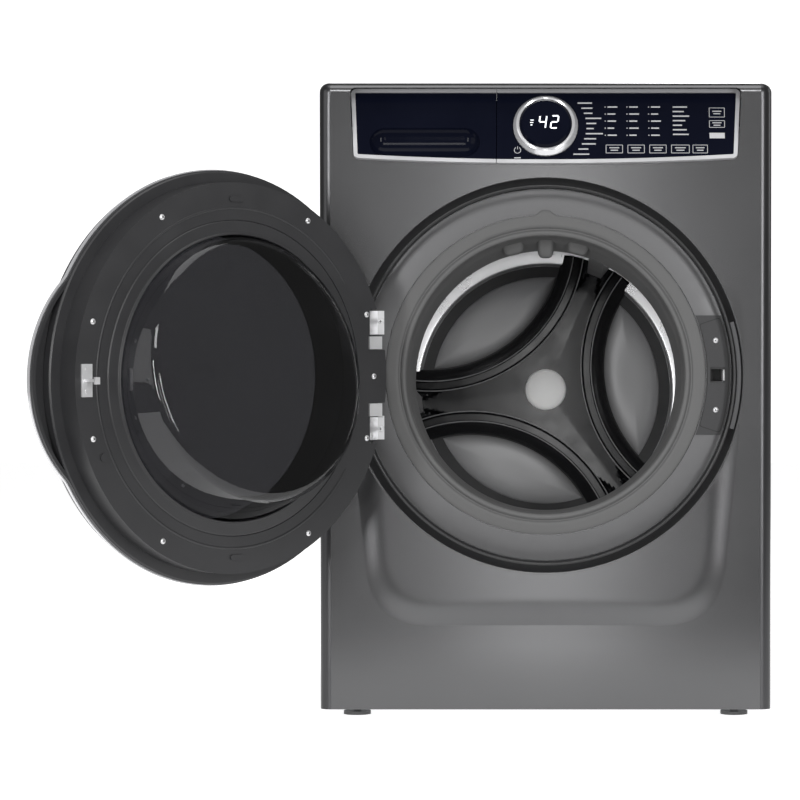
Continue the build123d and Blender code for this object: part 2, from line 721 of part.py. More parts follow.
with BuildPart() as latch_pawl:
    with BuildSketch(Plane.XY.offset(MOUTH_Z - 8.5)):
        with Locations((PAWL_X, PAWL_Y - 13)):
            Rectangle(4, 26)
        with Locations((PAWL_X, PAWL_Y)):
            Circle(4)
    extrude(amount=17)
    with BuildSketch(Plane.XY.offset(MOUTH_Z - 15.5)):
        with Locations((PAWL_X, PAWL_Y)):
            Circle(PAWL_PIN)
    extrude(amount=31)
latch_pawl.part.label = "latch_pawl"
export_step(latch_pawl.part, "parts/latch_pawl.step")

# Hinge brackets with their pins on the dish plate, and the four plate screws
with BuildPart() as hinge_brackets:
    with BuildSketch(wall(PLATE_Y)):
        with Locations((BRACKET_X, MOUTH_Z + 80), (BRACKET_X, MOUTH_Z - 80)):
            Rectangle(18, 36)
    extrude(amount=3)
    for z in (MOUTH_Z + 62, MOUTH_Z - 98):
        with BuildSketch(Plane.XY.offset(z)):
            with BuildLine():
                Polyline(
                    (BRACKET_X - 9, PLATE_Y),
                    (BRACKET_X, PLATE_Y),
                    (HINGE_X + 6, HINGE_Y),
                    (HINGE_X - 6, HINGE_Y),
                    close=True,
                )
            make_face()
            with Locations((HINGE_X, HINGE_Y)):
                Circle(7)
        extrude(amount=36)
    for z in (MOUTH_Z + 36, MOUTH_Z - 98):
        with BuildSketch(Plane.XY.offset(z)):
            with Locations((HINGE_X, HINGE_Y)):
                Circle(PIN_R)
        extrude(amount=62)
    with BuildSketch(wall(PLATE_Y)):
        with Locations(*BRACKET_SCREWS):
            Circle(PLATE_SCREW_R)
    extrude(amount=3, mode=Mode.SUBTRACT)
hinge_brackets.part.label = "hinge_brackets"
export_step(hinge_brackets.part, "parts/hinge_brackets.step")

with BuildPart() as plate_screws:
    with BuildSketch(wall(PLATE_Y - 3)):
        with Locations(*LATCH_SCREWS, *BRACKET_SCREWS):
            Circle(2 * PLATE_SCREW_R)
    extrude(amount=1.3)
    with BuildSketch(wall(PLATE_Y - 3)):
        with Locations(*LATCH_SCREWS, *BRACKET_SCREWS):
            Circle(PLATE_SCREW_R)
    extrude(amount=-3)
plate_screws.part.label = "plate_screws"
export_step(plate_screws.part, "parts/plate_screws.step")

# Door, built open in its own plane: local z points out of the machine when shut
with BuildPart() as door_outer_shell:
    with BuildSketch(DOOR_SEC):
        with BuildLine():
            Polyline((0, 43), (0, 0), (DOOR_R - 3, 0), (DOOR_R, 3), (DOOR_R, 16))
            ThreePointArc((DOOR_R, 16), (DOOR_R - 4.5, 27.5), (DOOR_R - 15, 34))
            Line((DOOR_R - 15, 34), (WINDOW_R + 2, 43))
            Line((WINDOW_R + 2, 43), (0, 43))
        make_face()
    revolve(axis=DOOR_AXIS)
    with BuildSketch(DOOR.offset(2)):
        add(door_outline.sketch_local)
    extrude(amount=14)
    with BuildSketch(DOOR.offset(16)):
        add(door_outline.sketch_local)
    extrude(amount=7, taper=40)
    with BuildSketch(DOOR_SEC):
        with BuildLine():
            Polyline(
                (0, -1),
                (FRAME_R - 3, -1),
                (FRAME_R - 3, 2.5),
                (DOOR_R - 3, 2.5),
                (DOOR_R - 3, 16),
                (DOOR_R - 17, 30),
                (WINDOW_R + 2, 38),
                (0, 38),
                close=True,
            )
        make_face()
    revolve(axis=DOOR_AXIS, mode=Mode.SUBTRACT)
    with BuildSketch(DOOR.offset(30)):
        with Locations((DOOR_C, 0)):
            Circle(WINDOW_R - 6)
    extrude(amount=30, mode=Mode.SUBTRACT)
    with BuildSketch(DOOR.offset(WINDOW_N)):
        with Locations((DOOR_C, 0)):
            Circle(WINDOW_R)
    extrude(amount=20, mode=Mode.SUBTRACT)
    with BuildSketch(DOOR.offset(1)):
        with Locations((DOOR_C + LOBE_C, 0)):
            Circle(LOBE_R - 5)
        with Locations((DOOR_C, 0)):
            Circle(DOOR_R, mode=Mode.SUBTRACT)
    extrude(amount=14, mode=Mode.SUBTRACT)
    with BuildSketch(DOOR.offset(-8)):
        with Locations((-30.5, HINGE_V), (-30.5, -HINGE_V)):
            Rectangle(79, 39)
    extrude(amount=39, mode=Mode.SUBTRACT)
    with BuildSketch(DOOR.offset(-8)):
        with Locations((-22, HINGE_V), (-22, -HINGE_V)):
            Rectangle(96, 39)
    extrude(amount=14, mode=Mode.SUBTRACT)
door_outer_shell.part.label = "door_outer_shell"
export_step(door_outer_shell.part, "parts/door_outer_shell.step")

with BuildPart() as door_trim_ring:
    with BuildSketch(DOOR.offset(9)):
        add(door_outline.sketch_local)
        offset(amount=1.6, mode=Mode.REPLACE)
        add(door_outline.sketch_local, mode=Mode.SUBTRACT)
    extrude(amount=5)
    with BuildSketch(DOOR.offset(-8)):
        with Locations((-30.5, HINGE_V), (-30.5, -HINGE_V)):
            Rectangle(79, 39)
    extrude(amount=39, mode=Mode.SUBTRACT)
door_trim_ring.part.label = "door_trim_ring"
export_step(door_trim_ring.part, "parts/door_trim_ring.step")

with BuildPart() as door_window:
    with BuildSketch(DOOR_SEC):
        with BuildLine():
            Polyline((0, 52), (0, 48), (WINDOW_R - 12, WINDOW_N), (WINDOW_R, WINDOW_N), (WINDOW_R, 43.2))
            Spline((WINDOW_R, 43.2), (WINDOW_R / 2, 49.8), (0, 52), tangents=[(-1, 0.08), (-1, 0)])
        make_face()
    revolve(axis=DOOR_AXIS)
door_window.part.label = "door_window"
export_step(door_window.part, "parts/door_window.step")

with BuildPart() as door_inner_frame:
    with BuildSketch(DOOR_SEC):
        with BuildLine():
            Polyline(
                (FRAME_HOLE, FRAME_N),
                (FRAME_R, FRAME_N),
                (FRAME_R, 0),
                (FRAME_R - 3, 0),
                (FRAME_R - 3, FRAME_N + FRAME_T),
                (FRAME_HOLE, FRAME_N + FRAME_T),
                close=True,
            )
        make_face()
    revolve(axis=DOOR_AXIS)
    with BuildSketch(DOOR.offset(FRAME_N)):
        with Locations((DOOR_C, FRAME_R - 24), (DOOR_C, 24 - FRAME_R)):
            SlotOverall(26, 8)
        with Locations((DOOR_C + FRAME_R - 48, -108)):
            Circle(6)
    extrude(amount=-2)
    with BuildSketch(DOOR.offset(FRAME_N)):
        with Locations(*DOOR_SCREWS):
            Circle(2.2)
    extrude(amount=3, mode=Mode.SUBTRACT)
    with BuildSketch(DOOR.offset(-45)):
        with Locations((-21, HINGE_V), (-21, -HINGE_V)):
            Rectangle(98, 39)
        with Locations((-9, 50), (-9, -50)):
            Rectangle(42, 21)
    extrude(amount=55, mode=Mode.SUBTRACT)
door_inner_frame.part.label = "door_inner_frame"
export_step(door_inner_frame.part, "parts/door_inner_frame.step")

with BuildPart() as door_glass_bowl:
    with BuildSketch(DOOR_SEC):
        with BuildLine():
            Polyline(
                (0, FRAME_N + FRAME_T + 3.5),
                (BOWL_R, FRAME_N + FRAME_T + 3.5),
                (BOWL_R, FRAME_N + FRAME_T),
                (BOWL_TIP_R, BOWL_END),
                (0, BOWL_END),
                close=True,
            )
        make_face()
    revolve(axis=DOOR_AXIS)
    split(bisect_by=BOWL_CUT, keep=Keep.TOP)
    bowl_edges = door_glass_bowl.edges().filter_by(lambda e: depth_in_door(e) < FRAME_N - 20)
    fillet(bowl_edges.filter_by(lambda e: e.length > 2 * BOWL_R), radius=16)
    bowl_faces = door_glass_bowl.faces()
    offset(amount=-BOWL_T, openings=bowl_faces.filter_by(lambda f: depth_in_door(f) > FRAME_N + 6))
    with BuildSketch(DOOR.offset(FRAME_N + FRAME_T)):
        with Locations((DOOR_C, 0)):
            Circle(FRAME_HOLE + 12)
            Circle(BOWL_R - 1, mode=Mode.SUBTRACT)
    extrude(amount=3.5)
door_glass_bowl.part.label = "door_glass_bowl"
export_step(door_glass_bowl.part, "parts/door_glass_bowl.step")

with BuildPart() as door_strike:
    with BuildSketch(DOOR.offset(FRAME_N)):
        with Locations((DOOR_C + STRIKE_X, 0)):
            Rectangle(18, 46)
    extrude(amount=-2)
    with BuildSketch(DOOR.offset(FRAME_N - 2)):
        with Locations((DOOR_C + STRIKE_X, 0)):
            Rectangle(8, 4)
    extrude(amount=-25)
    with BuildSketch(DOOR.offset(FRAME_N - 27)):
        with Locations((DOOR_C + STRIKE_X, 0)):
            Rectangle(8, 10)
    extrude(amount=4)
    with BuildSketch(DOOR.offset(FRAME_N - 2)):
        with Locations((DOOR_C + STRIKE_X, 15), (DOOR_C + STRIKE_X, -15)):
            Circle(3.6)
    extrude(amount=-0.8)
door_strike.part.label = "door_strike"
export_step(door_strike.part, "parts/door_strike.step")

with BuildPart() as door_screws:
    with BuildSketch(DOOR.offset(FRAME_N)):
        with Locations(*DOOR_SCREWS):
            Circle(4.6)
    extrude(amount=-2)
    with BuildSketch(DOOR.offset(FRAME_N)):
        with Locations(*DOOR_SCREWS):
            Circle(2.2)
    extrude(amount=3)
door_screws.part.label = "door_screws"
export_step(door_screws.part, "parts/door_screws.step")

with BuildPart() as hinge_arms:
    for z in (MOUTH_Z + 40.5, MOUTH_Z - 59.5):
        with BuildSketch(Plane(origin=(HINGE_X, HINGE_Y, z), x_dir=DOOR.x_dir, z_dir=(0, 0, 1))):
            with BuildLine():
                Polyline(
                    (6, 0),
                    (6, ARM_W + 2.5),
                    (30, ARM_W + 2.5),
                    (30, ARM_W),
                    (9.5, ARM_W),
                    (9.5, 0),
                    close=True,
                )
            make_face()
            Circle(7)
            Circle(PIN_R + FIT, mode=Mode.SUBTRACT)
        extrude(amount=19)
hinge_arms.part.label = "hinge_arms"
export_step(hinge_arms.part, "parts/hinge_arms.step")

# Rubber gasket between the dish and the tub, and its clamp
with BuildPart() as door_gasket:
    with BuildSketch(MOUTH_SEC):
        with BuildLine():
            Polyline(
                (MOUTH_R + 6, PLATE_Y - 3.5),
                (MOUTH_R + 6, PLATE_Y),
                (MOUTH_R, PLATE_Y),
                (MOUTH_R, PLATE_Y + 20),
                (MOUTH_R - 5, PLATE_Y + 20),
                (MOUTH_R - 5, PLATE_Y + 10),
                (MOUTH_R - 14, PLATE_Y + 6),
                (MOUTH_R - 24, PLATE_Y + 14),
                (MOUTH_R - 27, PLATE_Y + 11),
                (MOUTH_R - 16, PLATE_Y - 1),
                (MOUTH_R - 8, PLATE_Y - 4.5),
                close=True,
            )
        make_face()
    revolve(axis=MOUTH_AXIS)
    with BuildSketch(wall(PLATE_Y + 20)):
        with Locations((0, MOUTH_Z)):
            Circle(MOUTH_R)
    with BuildSketch(TUB.offset(NECK_S)):
        Circle(NECK_R)
    loft()
    with BuildSketch(wall(PLATE_Y + 20)):
        with Locations((0, MOUTH_Z)):
            Circle(MOUTH_R - 5)
    with BuildSketch(TUB.offset(NECK_S)):
        Circle(NECK_R - 5)
    loft(mode=Mode.SUBTRACT)
    with BuildSketch(TUB.offset(NECK_S)):
        Circle(NECK_R)
        Circle(NECK_R - 5, mode=Mode.SUBTRACT)
    extrude(amount=FACE_S - NECK_S + 1)
    with BuildSketch(wall(PLATE_Y + 20)):
        with Locations((0, MOUTH_Z)):
            Circle(MOUTH_R - 5)
    extrude(amount=10, mode=Mode.SUBTRACT)
    with BuildSketch(MOUTH_SEC):
        with BuildLine():
            Polyline(
                (MOUTH_R, PLATE_Y + 10),
                (MOUTH_R - 14, PLATE_Y + 6),
                (MOUTH_R - 24, PLATE_Y + 14),
                (MOUTH_R - 27, PLATE_Y + 11),
                (MOUTH_R - 16, PLATE_Y - 1),
                (MOUTH_R - 8, PLATE_Y - 4.5),
                (MOUTH_R, PLATE_Y),
                close=True,
            )
        make_face()
    revolve(axis=MOUTH_AXIS)
door_gasket.part.label = "door_gasket"
export_step(door_gasket.part, "parts/door_gasket.step")

with BuildPart() as gasket_clamp:
    with BuildSketch(wall(PLATE_Y + 4)):
        with Locations((0, MOUTH_Z)):
            Circle(MOUTH_R + 3)
            Circle(MOUTH_R, mode=Mode.SUBTRACT)
    extrude(amount=-9)
gasket_clamp.part.label = "gasket_clamp"
export_step(gasket_clamp.part, "parts/gasket_clamp.step")

# Tub halves, counterweight and suspension
with BuildPart() as tub_front:
    with BuildSketch(Plane.XY.offset(LUG_Z)):
        with Locations((DAMPER_X, DAMPER_Y), (-DAMPER_X, DAMPER_Y)):
            Rectangle(40, 36)
    extrude(amount=60)
    with BuildSketch(TUB):
        Circle(TUB_R - TUB_T)
    extrude(amount=TUB_BACK + 42, mode=Mode.SUBTRACT)
    with BuildSketch(TUB_SEC):
        with BuildLine():
            Polyline(
                (NECK_R, NECK_S),
                (NECK_R + TUB_T, NECK_S),
                (NECK_R + TUB_T, FACE_S),
                (TUB_R, FACE_S),
                (TUB_R, TUB_SPLIT),
                (TUB_R - TUB_T, TUB_SPLIT),
                (TUB_R - TUB_T, FACE_S + TUB_T),
                (NECK_R, FACE_S + TUB_T),
                close=True,
            )
        make_face()
    revolve(axis=TUB_AXIS)
tub_front.part.label = "tub_front"
export_step(tub_front.part, "parts/tub_front.step")

with BuildPart() as tub_rear:
    with BuildSketch(Plane.XY.offset(SPRING_Z0 - 40)):
        with Locations((SPRING_X, SPRING_Y), (-SPRING_X, SPRING_Y)):
            Rectangle(40, 40)
    extrude(amount=40)
    with BuildSketch(DRIVE.offset(DRUM_BACK - 25)):
        with Locations((0, TUB_R + 6)):
            Rectangle(76, 30)
    extrude(amount=70)
    with BuildSketch(DRIVE.offset(DRUM_BACK - 35)):
        with Locations((0, MOTOR_DROP)):
            Circle(MOTOR_R)
    extrude(amount=120, mode=Mode.SUBTRACT)
    with BuildSketch(TUB):
        Circle(TUB_R - TUB_T)
    extrude(amount=TUB_BACK + 42, mode=Mode.SUBTRACT)
    with BuildSketch(TUB_SEC):
        with BuildLine():
            Polyline(
                (TUB_R - TUB_T, TUB_SPLIT),
                (TUB_R, TUB_SPLIT),
                (TUB_R, TUB_BACK),
                (BEARING_R + 26, TUB_BACK),
                (BEARING_R + 26, TUB_BACK + 28),
                (BEARING_R, TUB_BACK + 28),
                (BEARING_R, TUB_BACK - 13),
                (BEARING_R + 26, TUB_BACK - 13),
                (BEARING_R + 26, TUB_BACK - 5),
                (TUB_R - TUB_T, TUB_BACK - 5),
                close=True,
            )
        make_face()
    revolve(axis=TUB_AXIS)
tub_rear.part.label = "tub_rear"
export_step(tub_rear.part, "parts/tub_rear.step")

with BuildPart() as counterweight:
    with BuildSketch(TUB.offset(FACE_S - 30)):
        Circle(TUB_R - 4)
        Circle(NECK_R + 24, mode=Mode.SUBTRACT)
    extrude(amount=30)
counterweight.part.label = "counterweight"
export_step(counterweight.part, "parts/counterweight.step")

with BuildPart() as cross_rail:
    with BuildSketch(Plane.XY.offset(SPRING_Z1)):
        with Locations((0, SPRING_Y)):
            Rectangle(CAB_W - 2 * SHEET, 34)
    extrude(amount=20)
    with BuildSketch(Plane.XY.offset(SPRING_Z1)):
        with Locations((0, SPRING_Y)):
            Rectangle(CAB_W - 2 * SHEET - 100, 28)
    extrude(amount=17, mode=Mode.SUBTRACT)
cross_rail.part.label = "cross_rail"
export_step(cross_rail.part, "parts/cross_rail.step")

with BuildPart() as tub_springs:
    for x in (-SPRING_X, SPRING_X):
        with BuildLine() as coil:
            for half in range(2 * COIL_TURNS):
                start, joint, end, leave, meet = coil_arcs(x, half)
                TangentArc(start, joint, tangent=leave)
                TangentArc(joint, end, tangent=meet)
        with BuildSketch(Plane(origin=coil.line @ 0, z_dir=coil.line % 0)):
            Circle(WIRE_R)
        sweep()
        for z in (SPRING_Z0, SPRING_Z1 - SPRING_SEAT):
            with BuildSketch(Plane.XY.offset(z)):
                with Locations((x, SPRING_Y)):
                    Circle(COIL_R + 3)
            extrude(amount=SPRING_SEAT)
tub_springs.part.label = "tub_springs"
export_step(tub_springs.part, "parts/tub_springs.step")

with BuildPart() as tub_dampers:
    with BuildSketch(Plane.XY.offset(BASE_Z + 2)):
        with Locations((DAMPER_X, DAMPER_Y), (-DAMPER_X, DAMPER_Y)):
            Circle(15)
    extrude(amount=120)
    with BuildSketch(Plane.XY.offset(BASE_Z + 2)):
        with Locations((DAMPER_X, DAMPER_Y), (-DAMPER_X, DAMPER_Y)):
            Circle(6.5)
    extrude(amount=LUG_Z - BASE_Z - 2)
tub_dampers.part.label = "tub_dampers"
export_step(tub_dampers.part, "parts/tub_dampers.step")

with BuildPart() as drum_bearings:
    for depth in (TUB_BACK - 12, TUB_BACK + 12):
        with BuildSketch(TUB.offset(depth)):
            Circle(BEARING_R)
            Circle(SHAFT_R + FIT, mode=Mode.SUBTRACT)
        extrude(amount=14)
drum_bearings.part.label = "drum_bearings"
export_step(drum_bearings.part, "parts/drum_bearings.step")

# Drum: basket with its petals, star, hub cap, lifters, spider and pulley
with BuildPart() as drum_basket:
    with BuildSketch(TUB_SEC):
        with BuildLine():
            Polyline(
                (DRUM_R - 54, DRUM_FRONT - 6),
                (DRUM_R - 51, DRUM_FRONT - 8),
                (DRUM_R - 48, DRUM_FRONT - 4),
                (DRUM_R - 14, DRUM_FRONT),
                (DRUM_R, DRUM_FRONT + 16),
                (DRUM_R, DRUM_BACK - 20),
                (DRUM_R - 18, DRUM_BACK + 3),
                (0, DRUM_BACK + 3),
                (0, DRUM_BACK),
                (DRUM_R - 20, DRUM_BACK),
                (DRUM_R - DRUM_T, DRUM_BACK - 21),
                (DRUM_R - DRUM_T, DRUM_FRONT + 17),
                (DRUM_R - 15, DRUM_FRONT + 2),
                (DRUM_R - 49, DRUM_FRONT - 2),
                (DRUM_R - 54, DRUM_FRONT - 4),
                close=True,
            )
        make_face()
    revolve(axis=TUB_AXIS)
    with BuildSketch(TUB.offset(DRUM_BACK)):
        with PolarLocations(PETAL_C, 3, start_angle=60 - STAR_TURN):
            Circle(PETAL_R)
        Circle(STAR_R - 24, mode=Mode.INTERSECT)
    extrude(amount=-PETAL_H, taper=32)
    with BuildSketch(TUB.offset(DRUM_BACK + 3)):
        with PolarLocations(PETAL_C, 3, start_angle=60 - STAR_TURN):
            Circle(PETAL_R - 4)
        Circle(STAR_R - 28, mode=Mode.INTERSECT)
    extrude(amount=-PETAL_H - 1, taper=32, mode=Mode.SUBTRACT)
drum_basket.part.label = "drum_basket"
export_step(drum_basket.part, "parts/drum_basket.step")

with BuildPart() as drum_star:
    with BuildSketch(TUB.offset(DRUM_BACK)):
        Circle(STAR_R)
        with PolarLocations(PETAL_C, 3, start_angle=60 - STAR_TURN):
            Circle(PETAL_R + 2, mode=Mode.SUBTRACT)
    extrude(amount=-8)
    with BuildSketch(TUB.offset(DRUM_BACK - 8)):
        Circle(STAR_R - 1)
        with PolarLocations(PETAL_C + 2, 3, start_angle=60 - STAR_TURN):
            Circle(PETAL_R + 6, mode=Mode.SUBTRACT)
    extrude(amount=8 - STAR_H, taper=35)
drum_star.part.label = "drum_star"
export_step(drum_star.part, "parts/drum_star.step")

with BuildPart() as hub_cap:
    with BuildSketch(TUB.offset(DRUM_BACK - STAR_H)):
        Circle(35)
    extrude(amount=-7, taper=12)
hub_cap.part.label = "hub_cap"
export_step(hub_cap.part, "parts/hub_cap.step")

with BuildPart() as drum_baffles:
    with BuildSketch(TUB.offset(150)):
        with PolarLocations(0, 3, start_angle=-STAR_TURN):
            Polygon(
                (DRUM_R - 64, -12),
                (DRUM_R - 64, 12),
                (DRUM_R - 6, 30),
                (DRUM_R + 10, 30),
                (DRUM_R + 10, -30),
                (DRUM_R - 6, -30),
                align=None,
            )
        Circle(DRUM_R - DRUM_T, mode=Mode.INTERSECT)
    extrude(amount=DRUM_BACK - 180)
drum_baffles.part.label = "drum_baffles"
export_step(drum_baffles.part, "parts/drum_baffles.step")

with BuildPart() as drum_spider:
    with BuildSketch(TUB.offset(DRUM_BACK + 3)):
        Circle(46)
        with PolarLocations(0, 3, start_angle=-STAR_TURN):
            Polygon((0, -24), (DRUM_R - 30, -15), (DRUM_R - 30, 15), (0, 24), align=None)
    extrude(amount=24)
    with BuildSketch(TUB.offset(DRUM_BACK + 27)):
        Circle(30)
    extrude(amount=14)
    with BuildSketch(TUB.offset(DRUM_BACK + 27)):
        Circle(SHAFT_R)
    extrude(amount=96)
drum_spider.part.label = "drum_spider"
export_step(drum_spider.part, "parts/drum_spider.step")

with BuildPart() as drum_pulley:
    with BuildSketch(TUB.offset(BELT_S)):
        Circle(PULLEY_R)
        Circle(PULLEY_R - 12, mode=Mode.SUBTRACT)
        Circle(38)
        with PolarLocations(0, 6):
            Polygon((20, -9), (PULLEY_R - 6, -9), (PULLEY_R - 6, 9), (20, 9), align=None)
        Circle(SHAFT_R, mode=Mode.SUBTRACT)
    extrude(amount=16)
drum_pulley.part.label = "drum_pulley"
export_step(drum_pulley.part, "parts/drum_pulley.step")

# Motor, its pulley and the belt
with BuildPart() as motor_body:
    with BuildSketch(DRIVE.offset(DRUM_BACK - 31)):
        with Locations((0, MOTOR_DROP)):
            Circle(MOTOR_R)
    extrude(amount=106)
    with BuildSketch(DRIVE.offset(DRUM_BACK + 55)):
        with Locations((0, MOTOR_DROP)):
            Circle(ARBOR_R + FIT)
    extrude(amount=30, mode=Mode.SUBTRACT)
motor_body.part.label = "motor_body"
export_step(motor_body.part, "parts/motor_body.step")

with BuildPart() as motor_pulley:
    with BuildSketch(DRIVE.offset(DRUM_BACK + 60)):
        with Locations((0, MOTOR_DROP)):
            Circle(ARBOR_R)
    extrude(amount=56)
    with BuildSketch(DRIVE.offset(BELT_S)):
        with Locations((0, MOTOR_DROP)):
            Circle(MOTOR_PULLEY_R)
    extrude(amount=16)
    with BuildSketch(DRIVE.offset(BELT_S + 16)):
        with Locations((0, MOTOR_DROP)):
            Circle(MOTOR_PULLEY_R + 4)
            RegularPolygon(9, 6, mode=Mode.SUBTRACT)
    extrude(amount=3)
motor_pulley.part.label = "motor_pulley"
export_step(motor_pulley.part, "parts/motor_pulley.step")

with BuildPart() as drive_belt:
    with BuildSketch(DRIVE.offset(BELT_S + 1)):
        with BuildLine():
            CenterArc((0, 0), PULLEY_R + 0.3 + BELT_T, 0, 360)
            CenterArc((0, MOTOR_DROP), MOTOR_PULLEY_R + 0.3 + BELT_T, 0, 360)
        make_hull()
    extrude(amount=BELT_W)
    with BuildSketch(DRIVE.offset(BELT_S + 1)):
        with BuildLine():
            CenterArc((0, 0), PULLEY_R + 0.3, 0, 360)
            CenterArc((0, MOTOR_DROP), MOTOR_PULLEY_R + 0.3, 0, 360)
        make_hull()
    extrude(amount=BELT_W, mode=Mode.SUBTRACT)
drive_belt.part.label = "drive_belt"
export_step(drive_belt.part, "parts/drive_belt.step")

# Drain pump with its sump hose up to the tub
with BuildPart() as drain_pump:
    with BuildSketch(wall(PUMP_Y)):
        with Locations((PUMP_X, PUMP_Z)):
            Circle(PUMP_R)
    extrude(amount=-110)
    with BuildSketch(Plane.XY.offset(BASE_Z + 2)):
        with Locations((PUMP_X, PUMP_Y + 55)):
            Rectangle(60, 90)
    extrude(amount=30)
    with BuildSketch(Plane.XY.offset(PUMP_Z)):
        with Locations((PUMP_X, HOSE_Y)):
            Circle(HOSE_R)
    extrude(amount=TUB_R)
    with BuildSketch(Plane.XY.offset(PUMP_Z + PUMP_R - 4)):
        with Locations((PUMP_X, HOSE_Y)):
            Circle(HOSE_BORE)
    extrude(amount=TUB_R, mode=Mode.SUBTRACT)
    with BuildSketch(TUB):
        Circle(TUB_R + FIT)
    extrude(amount=TUB_SPLIT, mode=Mode.SUBTRACT)
drain_pump.part.label = "drain_pump"
export_step(drain_pump.part, "parts/drain_pump.step")

# Water inlet valve, drain spigot and cord gland on the rear panel
with BuildPart() as inlet_valve:
    with BuildSketch(wall(REAR - 50)):
        with Locations(((INLETS[0][0] + INLETS[1][0]) / 2, INLETS[0][1])):
            Rectangle(106, 36)
    extrude(amount=-50 + SHEET)
    with BuildSketch(wall(REAR - SHEET)):
        with Locations(*INLETS):
            Circle(INLET_HOLE - FIT)
    extrude(amount=-SHEET)
    with BuildSketch(wall(REAR)):
        with Locations(*INLETS):
            Circle(INLET_R)
    extrude(amount=-INLET_L)
    with BuildSketch(wall(REAR + INLET_L)):
        with Locations(*INLETS):
            Circle(INLET_BORE)
    extrude(amount=INLET_L + SHEET, mode=Mode.SUBTRACT)
inlet_valve.part.label = "inlet_valve"
export_step(inlet_valve.part, "parts/inlet_valve.step")

with BuildPart() as drain_spigot:
    with BuildSketch(wall(REAR - 20)):
        with Locations(DRAIN):
            Circle(DRAIN_HOLE + 7.5)
    extrude(amount=-20 + SHEET)
    with BuildSketch(wall(REAR - SHEET)):
        with Locations(DRAIN):
            Circle(DRAIN_HOLE - FIT)
    extrude(amount=-SHEET)
    with BuildSketch(wall(REAR)):
        with Locations(DRAIN):
            Circle(DRAIN_R)
    extrude(amount=-DRAIN_L)
    with BuildSketch(wall(REAR + DRAIN_L)):
        with Locations(DRAIN):
            Circle(DRAIN_BORE)
    extrude(amount=DRAIN_L + 20, mode=Mode.SUBTRACT)
drain_spigot.part.label = "drain_spigot"
export_step(drain_spigot.part, "parts/drain_spigot.step")

with BuildPart() as cord_gland:
    with BuildSketch(wall(REAR)):
        with Locations(CORD):
            Circle(CORD_HOLE + 5)
    extrude(amount=-10, taper=10)
    with BuildSketch(wall(REAR)):
        with Locations(CORD):
            Circle(CORD_HOLE)
    extrude(amount=10)
    with BuildSketch(wall(REAR + 10)):
        with Locations(CORD):
            Circle(CORD_BORE)
    extrude(amount=20, mode=Mode.SUBTRACT)
cord_gland.part.label = "cord_gland"
export_step(cord_gland.part, "parts/cord_gland.step")
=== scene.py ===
"""Front load washing machine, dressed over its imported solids."""

import json
import math

import bmesh
import bpy
from bpy.props import FloatProperty, FloatVectorProperty, IntProperty, PointerProperty
from bpy.types import Operator, Panel, PropertyGroup
from mathutils import Matrix, Vector


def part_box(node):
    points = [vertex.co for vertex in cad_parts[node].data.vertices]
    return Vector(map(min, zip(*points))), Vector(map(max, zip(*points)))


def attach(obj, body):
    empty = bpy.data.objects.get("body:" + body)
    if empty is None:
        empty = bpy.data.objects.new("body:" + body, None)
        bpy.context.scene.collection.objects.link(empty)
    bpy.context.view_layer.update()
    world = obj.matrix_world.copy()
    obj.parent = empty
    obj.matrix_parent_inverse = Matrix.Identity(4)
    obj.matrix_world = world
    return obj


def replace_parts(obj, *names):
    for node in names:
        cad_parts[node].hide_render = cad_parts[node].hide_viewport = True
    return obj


bl_info = {
    "name": "Front Load Washing Machine",
    "version": (1, 0, 0),
    "blender": (4, 5, 0),
    "location": "View3D > Sidebar > Washer",
    "description": "Builds the finished pieces of a front load washing machine",
    "category": "Object",
}

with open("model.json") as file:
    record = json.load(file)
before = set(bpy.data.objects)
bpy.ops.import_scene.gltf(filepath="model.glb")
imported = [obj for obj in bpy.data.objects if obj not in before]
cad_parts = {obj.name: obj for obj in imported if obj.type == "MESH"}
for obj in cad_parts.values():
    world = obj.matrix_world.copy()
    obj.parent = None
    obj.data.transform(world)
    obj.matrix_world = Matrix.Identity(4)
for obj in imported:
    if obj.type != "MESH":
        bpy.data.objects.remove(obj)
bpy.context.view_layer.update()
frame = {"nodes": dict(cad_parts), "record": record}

MM = 0.001
RIGHT = Vector((1, 0, 0))
UP = Vector((0, 0, 1))
TO_VIEWER = Vector((0, -1, 0))
ORIGIN = Matrix.Identity(4)


# Places, taken from the imported frame or given


def joint(name):
    return next(j for j in frame["record"]["behaviour"]["joints"] if j["name"] == name)


def stand(origin, x_dir, z_dir):
    """A frame at origin whose x runs along x_dir and whose z points along z_dir."""
    x = Vector(x_dir).normalized()
    z = Vector(z_dir).normalized()
    placed = Matrix((x, z.cross(x), z)).transposed().to_4x4()
    placed.translation = Vector(origin)
    return placed


DRUM_AT = Vector(joint("drum_spin")["pos_m"])
DRUM_AXIS = Vector(joint("drum_spin")["axis"])
HINGE_AT = Vector(joint("door_hinge")["pos_m"])
SHUT_ANGLE = math.radians(joint("door_hinge")["range_deg"][1])
FRONT_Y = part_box("side_panel_left")[0][1]
REAR_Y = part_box("rear_panel")[1][1]
MOUTH_Z = DRUM_AT.z
DISH_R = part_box("door_surround_ring")[1][0]
DRUM_DEPTH = 505 * MM  # from the drum joint to the inside of its back
RIM_SET = 17 * MM  # the door's own plane lies this far behind the hinge axis
PETAL_ANGLES = (7, 127, 247)  # middles of the plates between the arms
PETAL_FAR = 318 * MM  # from the drum axis to the centre of a petal's round edge

